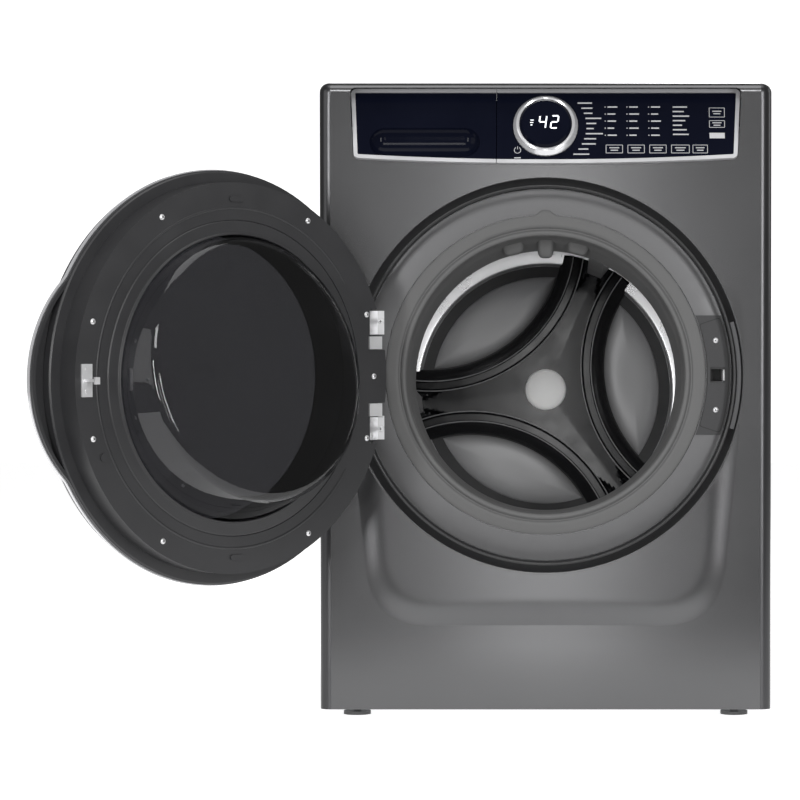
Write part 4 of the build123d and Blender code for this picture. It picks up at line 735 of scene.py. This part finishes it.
class WASHER_OT_drum(PieceOperator):
    """Makes the drum's wall and back, its petals and its perforations"""

    bl_idname = "washer.drum"
    bl_label = "Drum"

    SHELL = (
        (216, -106), (216, -98.5), (219, -96), (222, -98), (223, -106), (262, -108), (268, -114),
        (268, -140), (265.5, -146), (265.5, -154), (268, -160), (268, -452), (265.5, -458),
        (265.5, -466), (268, -472), (268, -484), (262, -492), (238, -494), (211.5, -495.5),
        (208.5, -505), (0, -505), (0, -507), (264, -507), (270, -500), (270, -112), (264, -105.5),
        (224, -103),
    )
    # A thin near-black disc over the drum's back: painted shade round the petals and the star.
    SHADE_DISC = ((0, -504.9), (0, -504.2), (208.5, -504.2), (208.5, -504.9))
    PETAL_RINGS = (1.0, 0.995, 0.985, 0.965, 0.93, 0.87, 0.78, 0.66, 0.5, 0.3, 0.1)
    HOLE_RIM = ((0, 0.25), (0.9, 0.25), (1.1, 0.55), (1.5, 0.35), (1.8, 0), (0, 0))

    def build(self):
        profile = soften(mm(self.SHELL), 3 * MM)
        drum = keep("drum_shell", turned(profile, TUB), "drum_steel", "drum", 40)
        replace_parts(drum, "drum_basket")
        petals = [self.petal(math.radians(angle)) for angle in PETAL_ANGLES]
        # The petals' darker steel is painted shade.
        keep("drum_petals", joined(*petals), "shaded_petal_steel", "drum", 50)
        # The near-black disc on the back is painted shade.
        keep("drum_back_seal", turned(mm(self.SHADE_DISC), TUB), "shade_disc_plastic", "drum")
        self.perforate()

    def petal(self, angle):
        """A crowned plate between two arms of the star."""
        far, radius, reach, steps = PETAL_FAR, 218 * MM, 190 * MM, 20
        middle = Vector((146 * MM, 0))
        turn = math.acos(cosine(far, reach, radius))
        lean = math.acos(cosine(far, radius, reach))
        outline = []
        for k in range(2 * steps + 1):
            a = lean * (1 - k / steps)
            outline.append(Vector((far - radius * math.cos(a), radius * math.sin(a))))
        for k in range(1, 2 * steps):
            outline.append(Vector(polar(reach, turn * (k / steps - 1))))
        crown = sizes().petal_height
        rings = []
        for t in self.PETAL_RINGS:
            rise = crown * (1 - t ** 5) ** 0.8 - DRUM_DEPTH
            rings.append([(*middle.lerp(p, t), rise) for p in outline])
        return stacked(rings, TUB @ Matrix.Rotation(angle, 4, "Z"), caps=(False, True))

    def perforate(self):
        """Rows of rimmed holes round the wall, kept clear of the lifters."""
        wall, first, over = 268 * MM, 172 * MM, 280 * MM
        lifter, every, clear = 67, 120, 9  # degrees
        pitch = sizes().hole_pitch
        step = 0.87 * pitch  # so that the holes stand in triangles
        around = 3 * round(math.tau * wall / pitch / 3)
        points, ways = [], []
        for row in range(int(over / step)):
            depth = first + step * row
            for k in range(around):
                angle = math.tau * (k + 0.5 * (row % 2)) / around
                off = (math.degrees(angle) - lifter + every / 2) % every - every / 2
                if abs(off) < clear:
                    continue
                out = Vector((*polar(1, angle), 0))
                points.append(TUB @ (wall * out + Vector((0, 0, -depth))))
                ways.append(TUB.to_3x3() @ -out)
        r = sizes().hole
        rim = turned([(a * r, (b - 0.1) * r) for a, b in self.HOLE_RIM], ORIGIN, steps=12)
        keep_copies("drum_hole_rims", rim, points, ways, "drum_steel", "drum")
        # A near-black disc in each rim: painted shade for the open hole.
        outline = [(0, 0.3 * r), (0.9 * r, 0.3 * r), (0.9 * r, 0), (0, 0)]
        disc = turned(outline, ORIGIN, steps=12)
        keep_copies("drum_holes", disc, points, ways, "joint_line_and_hollow_shade", "drum")


class WASHER_OT_star(PieceOperator):
    """Makes the three-armed star and its hub cap"""

    bl_idname = "washer.star"
    bl_label = "Drum Star"

    RADIUS = 220 * MM  # of the concave sides
    HEIGHTS = (
        (0, 0), (0.8, 7), (4, 10), (12, 17), (17, 22), (18.5, 23.4), (20, 23.6), (21, 22.5),
        (22.5, 19.5), (32.5, 19.5), (34, 22), (35.5, 24), (37, 25), (98, 25.6),
    )
    HEIGHTS_FOR = 24 * MM  # the star height that these heights are written for
    LEVELS = (0, 0.8, 2.4, 4, 8, 12, 15, 17, 18.5, 20, 21, 22.5, 25, 29, 32.5, 34, 35.5, 37, 38.5,
              41, 44, 48, 52, 56, 60, 63.9, 68, 74, 80, 86, 92, 96, 98)
    # Insets of the light grey lines that paint the ridges' highlights.
    HIGHLIGHT_BEAD_LEVELS = (20, 36.5)
    BEAD = ((-0.9, -1), (-0.9, 0.3), (0, 0.8), (0.9, 0.3), (0.9, -1))
    CAP = ((0, -6), (33, -6), (34, -3), (34.5, 2), (33.5, 5), (29, 7), (18, 8.2), (0, 8.6))

    def build(self):
        near, arm, steps = PETAL_FAR - self.RADIUS, 130 * MM, 44
        radii = [max(near - level * MM, 1 * MM) for level in reversed(self.LEVELS)]
        radii += [near + arm * (k / steps) ** 1.6 for k in range(1, steps + 1)]
        patches, beads = [], []
        for angle in PETAL_ANGLES:
            turn = math.radians(angle)
            patches += [self.patch(turn, side, radii) for side in (1, -1)]
            beads += [self.bead(turn, level) for level in self.HIGHLIGHT_BEAD_LEVELS]
        star = keep("drum_star_body", joined(*patches), "star_plastic", "drum", 24)
        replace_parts(star, "drum_star")
        keep("drum_star_beads", joined(*beads), "ridge_highlight_plastic", "drum", 60)
        lift = sizes().star_height - DRUM_DEPTH
        cap = soften([(r * MM, z * MM + lift) for r, z in self.CAP], 2 * MM)
        mesh = turned(cap, TUB, steps=72)
        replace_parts(keep("hub_dome", mesh, "hub_plastic", "drum"), "hub_cap")

    def bead(self, angle, level):
        """A fine moulded line along the star's concave side, in a light grey that paints the
        ridge's highlight.
        """
        far, tip, span = PETAL_FAR, 226 * MM, self.RADIUS + level * MM
        sweep = math.degrees(math.acos(cosine(far, span, tip)))
        high = self.height(level, 0, 0) * MM - DRUM_DEPTH
        line = [(span + r * MM, high + z * MM) for r, z in self.BEAD]
        where = TUB @ Matrix.Rotation(angle, 4, "Z") @ Matrix.Translation((far, 0, 0))
        return turned(line, where, arc=(180 - sweep, 180 + sweep), steps=90)

    def patch(self, angle, side, radii):
        """A sixth of the star: lines at equal distance from one petal's round edge."""
        far = PETAL_FAR
        verts = []
        for row, radius in enumerate([*radii, radii[-1]]):
            for level in self.LEVELS:
                reach = self.RADIUS + level * MM
                turn = math.acos(max(0.5, min(1, cosine(far, radius, reach))))
                span = math.sqrt(far ** 2 + radius ** 2 - 2 * far * radius * math.cos(turn))
                across = radius * math.sin(math.radians(60) - turn)
                rise = 0  # the last row is the skirt that drops to the drum's back
                if row < len(radii):
                    inset = span - self.RADIUS
                    rise = self.height(inset / MM, radius / MM, across / MM) * MM
                verts.append((*polar(radius, angle + side * turn), rise - DRUM_DEPTH))
        return mesh_of("star", TUB, verts, grid_faces(len(radii) + 1, len(self.LEVELS)))

    def height(self, inset, radius, across):
        """Height at an inset from the concave side, all in millimetres: wall, ridge, sunk strip,
        centre plate and tip pockets."""
        high = self.HEIGHTS[-1][1]
        for (a, low), (b, top) in zip(self.HEIGHTS, self.HEIGHTS[1:]):
            if a <= inset <= b:
                high = low + (top - low) * (inset - a) / (b - a)
                break
        pocket_radius, pocket_inset, pocket_depth = 150, 36, 12
        out, into = radius - pocket_radius, inset - pocket_inset
        if out > 0 and into > 0:
            wedge = 24 - 19 * out / 65
            high -= pocket_depth * share(min((across - wedge) / 4, into / 3, out / 8))
        return high * sizes().star_height / self.HEIGHTS_FOR


class WASHER_OT_door(PieceOperator):
    """Adds the door's seat ring, bead and screws"""

    bl_idname = "washer.door"
    bl_label = "Door"

    FACE = 36.6  # height of the inner frame's face over the door's own plane
    SEAT = ((206, -2), (206, 3), (207, 4.6), (208.6, 4.2), (210, 1.3), (226, 1.1), (229.5, -3))
    BEAD = ((243, -1), (243, 0.4), (245, 1.1), (247, 0.4), (247, -1))
    HINGE_SCREWS = ((-244, 92, 0), (-244, -92, 0), (-258, 0, 0))
    SCREW_ARC = (60, -60, 120, -120, 18, -18)

    def build(self):
        inside = DOOR @ Matrix.Rotation(math.pi, 4, "X")
        mesh = turned(soften(self.on_face(self.SEAT), 0.8 * MM), inside)
        keep("door_seat_ring", mesh, "door_plastic", "door")
        mesh = turned(soften(self.on_face(self.BEAD), 1 * MM), inside, arc=(-146, 146))
        keep("door_bead", mesh, "door_plastic", "door")

        plane = inside @ Matrix.Translation((0, 0, self.FACE * MM))
        spots, radius = list(self.HINGE_SCREWS), 264.5
        for angle in self.SCREW_ARC:
            spots.append((*polar(radius, math.radians(angle)), 0))
        screws("door_pan_heads", "door_screws", plane, spots, "door")

    def on_face(self, profile):
        return mm([(radius, self.FACE + height) for radius, height in profile])


class WASHER_OT_console(PieceOperator):
    """Prints the console's bars, pads, number and power ring, and closes its ends"""

    bl_idname = "washer.console"
    bl_label = "Console Print"

    ROUND_LIST = (22, 17, 13, 24, 15, 11, 26, 18, 21, 15, 24)
    COLUMNS = (  # left, step, whether it has dots, lengths
        (94, 11.6, True, (15, 12, 13, 10, 14)),
        (127, 11.6, True, (13, 15, 12, 14, 11)),
        (160, 11.6, True, (14, 11, 15, 12, 13)),
        (193, 7.5, False, (22, 17, 25, 19, 14, 21, 24)),
    )
    POWER_WORD = (-42.5, -51.5, 10, 1.8)
    PADS = ((104, -37, 25, 13), (137, -37, 25, 13), (170, -37, 25, 13), (204, -37, 27, 13),
            (234, -37, 22, 13), (260, 23, 23, 15), (260, 4, 23, 11))
    START_PAD = (260, -15, 23, 9)
    SEGMENTS = {"4": "bcfg", "2": "abdeg"}
    DIGITS = (("4", -4.5), ("2", 13.5))
    DISPLAY_MARKS = ((-21, 4, 5, 1.2), (-21, 0, 5, 1.2), (-21, -4, 3, 1.2))

    def build(self):
        proud = sizes().print_height
        up = 0.4 * proud
        rows = self.words() + self.pads()
        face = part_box("console_panel")
        if max(x * MM + 0.5 * length * MM for x, _, length, _ in rows) > face[1][0]:
            raise RuntimeError("the printed marks run off the console")
        mesh = bars(rows, up, CONSOLE, "print", proud)
        symbol = self.power_ring(up + 0.5 * proud)
        keep("console_print", joined(mesh, symbol), "print", "cabinet")
        mesh = bars([self.START_PAD], up, CONSOLE, "chrome", 2 * proud)
        keep("console_start_pad", mesh, "chrome", "cabinet")
        keep("display_digits", self.digits(), "lit_marks", "cabinet")
        keep("console_cheeks", joined(self.cheek(1), self.cheek(-1)), "front_paint",
             "cabinet")

    @staticmethod
    def cheek(side):
        """The folded return that closes one end of the console's cut-out."""
        inner, outer, behind = 297.2, 299.0, 0.4 * MM
        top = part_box("front_panel")[1][2] - behind
        front = FRONT_Y + behind
        low = CONSOLE @ Vector((0, -38 * MM, -5 * MM))
        high = low + CONSOLE.to_3x3() @ Vector((0, 99 * MM, 0))
        outline = [(low.y, low.z), (front, low.z), (front, top - 15 * MM),
                   (front + 4 * MM, top - 4 * MM), (front + 15 * MM, top),
                   (high.y + 4 * MM, top), (high.y, high.z)]
        rings = [[(side * x * MM, y, z) for y, z in outline] for x in (inner, outer)]
        return stacked(rings, ORIGIN)

    def words(self):
        """One list that follows the selector, and four straight columns."""
        radius, round_top, round_step, column_top = 62, 38.5, 8.4, 32
        high, dot, dot_gap = 2.1, 1.6, 3.5
        rows = []
        for k, length in enumerate(self.ROUND_LIST):
            y = round_top - round_step * k
            x = math.sqrt(radius ** 2 - y ** 2)
            rows.append((x + length / 2, y, length, high))
        for left, step, dotted, lengths in self.COLUMNS:
            for k, length in enumerate(lengths):
                y = column_top - step * k
                rows.append((left + length / 2, y, length, high))
                if dotted:
                    rows.append((left - dot_gap, y, dot, dot))
        return rows + [self.POWER_WORD]

    def pads(self):
        """An outline of four lines and two words for each pad."""
        line, word = 0.9, 1.6
        rows = []
        for x, y, wide, high in self.PADS:
            for sign in (1, -1):
                rows.append((x, y + sign * high / 2, wide, line))
                rows.append((x + sign * wide / 2, y, line, high))
            rows.append((x, y + 2, 0.6 * wide, word))
            rows.append((x, y - 2, 0.45 * wide, word))
        return rows

    @staticmethod
    def power_ring(high):
        inner, outer = 4.4 * MM, 5.4 * MM
        where = CONSOLE @ Matrix.Translation((-42.5 * MM, -39 * MM, 0))
        ring = [(inner, 0), (inner, high), (outer, high), (outer, 0)]
        outline = round_box(1.0 * MM, 5 * MM, 0.3 * MM, (0, 4 * MM))
        stem = [[(*p, z) for p in outline] for z in (0, high)]
        return joined(turned(ring, where, arc=(120, 420), steps=40), stacked(stem, where))

    def digits(self):
        """A plain two-figure number in slanted bars."""
        half, tall, line, gap, lean = 5.0, 10.0, 2.2, 1.2, 0.12
        lens_face, lens_gap = 15.0, 0.12
        flat, upright = (2 * half - gap, line), (line, tall - gap)
        places = {
            "a": (0, tall, flat), "g": (0, 0, flat), "d": (0, -tall, flat),
            "b": (half, tall / 2, upright), "c": (half, -tall / 2, upright),
            "f": (-half, tall / 2, upright), "e": (-half, -tall / 2, upright),
        }
        rows = []
        for digit, middle in self.DIGITS:
            for segment in self.SEGMENTS[digit]:
                x, y, size = places[segment]
                rows.append((middle + x, y + 1, *size))
        rows += self.DISPLAY_MARKS
        slant = Matrix.Identity(4)
        slant[0][1] = lean
        mesh = bars(rows, (lens_face + lens_gap) * MM, ORIGIN, "lit_marks", 0.2 * MM)
        mesh.transform(CONSOLE @ slant)
        return mesh


class WASHER_OT_screws(PieceOperator):
    """Sets the screws of the front plate and of the back"""

    bl_idname = "washer.screws"
    bl_label = "Cabinet Screws"

    PLATE_SPOTS = ((259.5, 53, 3), (259.5, -53, 3), (-251.5, 82, 3), (-251.5, -82, 3))

    def build(self):
        screws("plate_pan_heads", "plate_screws", PLATE, self.PLATE_SPOTS, "cabinet")
        edge, low, step = 325, 60, 215
        cover, cover_z, cover_thick = 162, 480, 2
        spots = [(x, low + step * row, 0) for row in range(5) for x in (-edge, edge)]
        for angle in range(30, 390, 60):
            x, z = polar(cover, math.radians(angle))
            spots.append((x, cover_z + z, cover_thick))
        screws("rear_pan_heads", "cabinet_screws", REAR, spots, "cabinet")


class WASHER_OT_rear(PieceOperator):
    """Presses stiffening beads into the back sheet"""

    bl_idname = "washer.rear"
    bl_label = "Rear Beads"

    BEADS = ((130, 420), (175, 420), (760, 420), (800, 300))  # height, length
    WIDE = 22
    LEVELS = ((0, -0.3), (3, 1.2), (6, 2.0))

    def build(self):
        beads = [self.bead(z, long) for z, long in self.BEADS]
        keep("rear_beads", joined(*beads), "plated_sheet", "cabinet", 60)

    def bead(self, z, long):
        def outline(inset):
            return round_box((long - 2 * inset) * MM, (self.WIDE - 2 * inset) * MM,
                             self.WIDE / 2 * MM, (0, z * MM), 8)

        return stacked(layers(outline, self.LEVELS), REAR)


class WASHER_OT_stage(PieceOperator):
    """Sets the pale floor, the soft lights, the backdrop and the camera"""

    bl_idname = "washer.stage"
    bl_label = "Stage"

    LIGHTS = (  # name, place, aim, size, power
        ("key_strip", (0.0, -5.0, 0.45), (0, 0, 0.45), (0.26, 1.8), 9.0),
        ("fill_box", (-1.9, -4.5, 1.0), (0, 0, 0.5), (0.4, 1.8), 55),
        ("fill_box", (1.9, -4.5, 1.0), (0, 0, 0.5), (0.4, 1.8), 55),
        ("high_box", (0.0, -4.6, 3.2), (0, 0, 0.6), (1.6, 1.0), 48),
        ("top_box", (0.0, -0.9, 3.4), (0, -0.3, 0.4), (2.6, 1.8), 28),
        ("left_box", (-3.4, -2.4, 1.4), (-0.2, -0.3, 0.5), (2.0, 2.4), 16),
        ("back_box", (1.2, 3.6, 2.4), (0, 0.3, 0.5), (2.0, 2.0), 60),
        ("right_box", (3.4, 0.6, 1.6), (0, 0, 0.5), (1.0, 2.0), 12),
    )

    def build(self):
        near, far, side, top = -1.3, 9.0, 3.6, 4.0
        floor_glow, wall_glow, world_glow = 0.8, 1.0, 0.22
        ground = [(-side, near, 0), (side, near, 0), (side, far, 0), (-side, far, 0)]
        wall = [(-side, far, 0), (side, far, 0), (side, far, top), (-side, far, top)]
        self.sheet("floor", ground, floor_glow)
        self.sheet("backdrop", wall, wall_glow)
        for row in self.LIGHTS:
            self.light(*row)
        self.world(world_glow)
        self.camera()
        bpy.context.scene.view_settings.view_transform = "Standard"

    @staticmethod
    def light(name, at, aim, size, power):
        lamp = bpy.data.lights.new(name, "AREA")
        lamp.shape = "RECTANGLE"
        lamp.size, lamp.size_y = size
        lamp.energy = power
        holder = new_object(name, lamp)
        holder.location = at
        holder.rotation_euler = (Vector(aim) - Vector(at)).to_track_quat("-Z", "Y").to_euler()

    def sheet(self, name, corners, glow):
        mesh = bpy.data.meshes.new(name)
        mesh.from_pydata(corners, [], [(0, 1, 2, 3)])
        mesh.materials.append(self.pale_finish(name, glow))
        made = new_object(name, mesh)

    @staticmethod
    def pale_finish(name, glow):
        """Pale matt paint that glows to the eye, in metal and through glass, and lights nothing."""
        made = finish(name, grey(0.8), vary=0.02, scale=3, rough=(0.88, 0.92), bump=0.01,
                      Specular_IOR_Level=0.0, Emission_Color=(1, 1, 1, 1))
        tree = made.node_tree
        path = add_node(tree, "ShaderNodeLightPath")
        seen = (path, "Is Camera Ray")
        for ray in ("Is Glossy Ray", "Is Transmission Ray"):
            either = add_node(tree, "ShaderNodeMath")
            either.operation = "MAXIMUM"
            link(tree, (*seen, either, 0), (path, ray, either, 1))
            seen = (either, 0)
        strength = add_node(tree, "ShaderNodeMath")
        strength.operation = "MULTIPLY"
        strength.inputs[1].default_value = glow
        shader = tree.nodes["Principled BSDF"]
        link(tree, (*seen, strength, 0), (strength, 0, shader, "Emission Strength"))
        return made

    @staticmethod
    def world(glow):
        studio = bpy.data.worlds.new("studio")
        bpy.context.scene.world = studio
        studio.use_nodes = True
        dim = studio.node_tree.nodes["Background"]
        set_inputs(dim, {"Color": (1, 1, 1, 1), "Strength": glow})

    @staticmethod
    def camera():
        at, down = (0.0, -5.51, 0.605), math.radians(1.61)
        lens = bpy.data.cameras.new("camera")
        lens.sensor_width = 36
        lens.lens = 152.6
        lens.shift_x = -0.182
        lens.shift_y = 0.02
        lens.clip_end = 60
        holder = new_object("camera", lens)
        holder.location = at
        holder.rotation_euler = (math.radians(90) - down, 0, 0)
        bpy.context.scene.camera = holder


PIECES = (
    WASHER_OT_finishes, WASHER_OT_front, WASHER_OT_ring, WASHER_OT_gasket, WASHER_OT_drum,
    WASHER_OT_star, WASHER_OT_door, WASHER_OT_console, WASHER_OT_screws, WASHER_OT_rear,
    WASHER_OT_stage,
)


class WASHER_PT_panel(Panel):
    bl_idname = "WASHER_PT_panel"
    bl_label = "Washing Machine"
    bl_space_type = "VIEW_3D"
    bl_region_type = "UI"
    bl_category = "Washer"

    def draw(self, context):
        layout = self.layout
        for group in (context.scene.washer_sizes, context.scene.washer_colours):
            for name in group.__annotations__:
                layout.prop(group, name)
        for piece in PIECES:
            layout.operator(piece.bl_idname)


CLASSES = (WasherSizes, WasherColours, *PIECES, WASHER_PT_panel)


def register():
    for cls in CLASSES:
        bpy.utils.register_class(cls)
    bpy.types.Scene.washer_sizes = PointerProperty(type=WasherSizes)
    bpy.types.Scene.washer_colours = PointerProperty(type=WasherColours)


def unregister():
    del bpy.types.Scene.washer_colours
    del bpy.types.Scene.washer_sizes
    for cls in reversed(CLASSES):
        bpy.utils.unregister_class(cls)


def main():
    register()
    for piece in PIECES:
        group, name = piece.bl_idname.split(".")
        getattr(getattr(bpy.ops, group), name)()


if __name__ == "__main__":
    main()
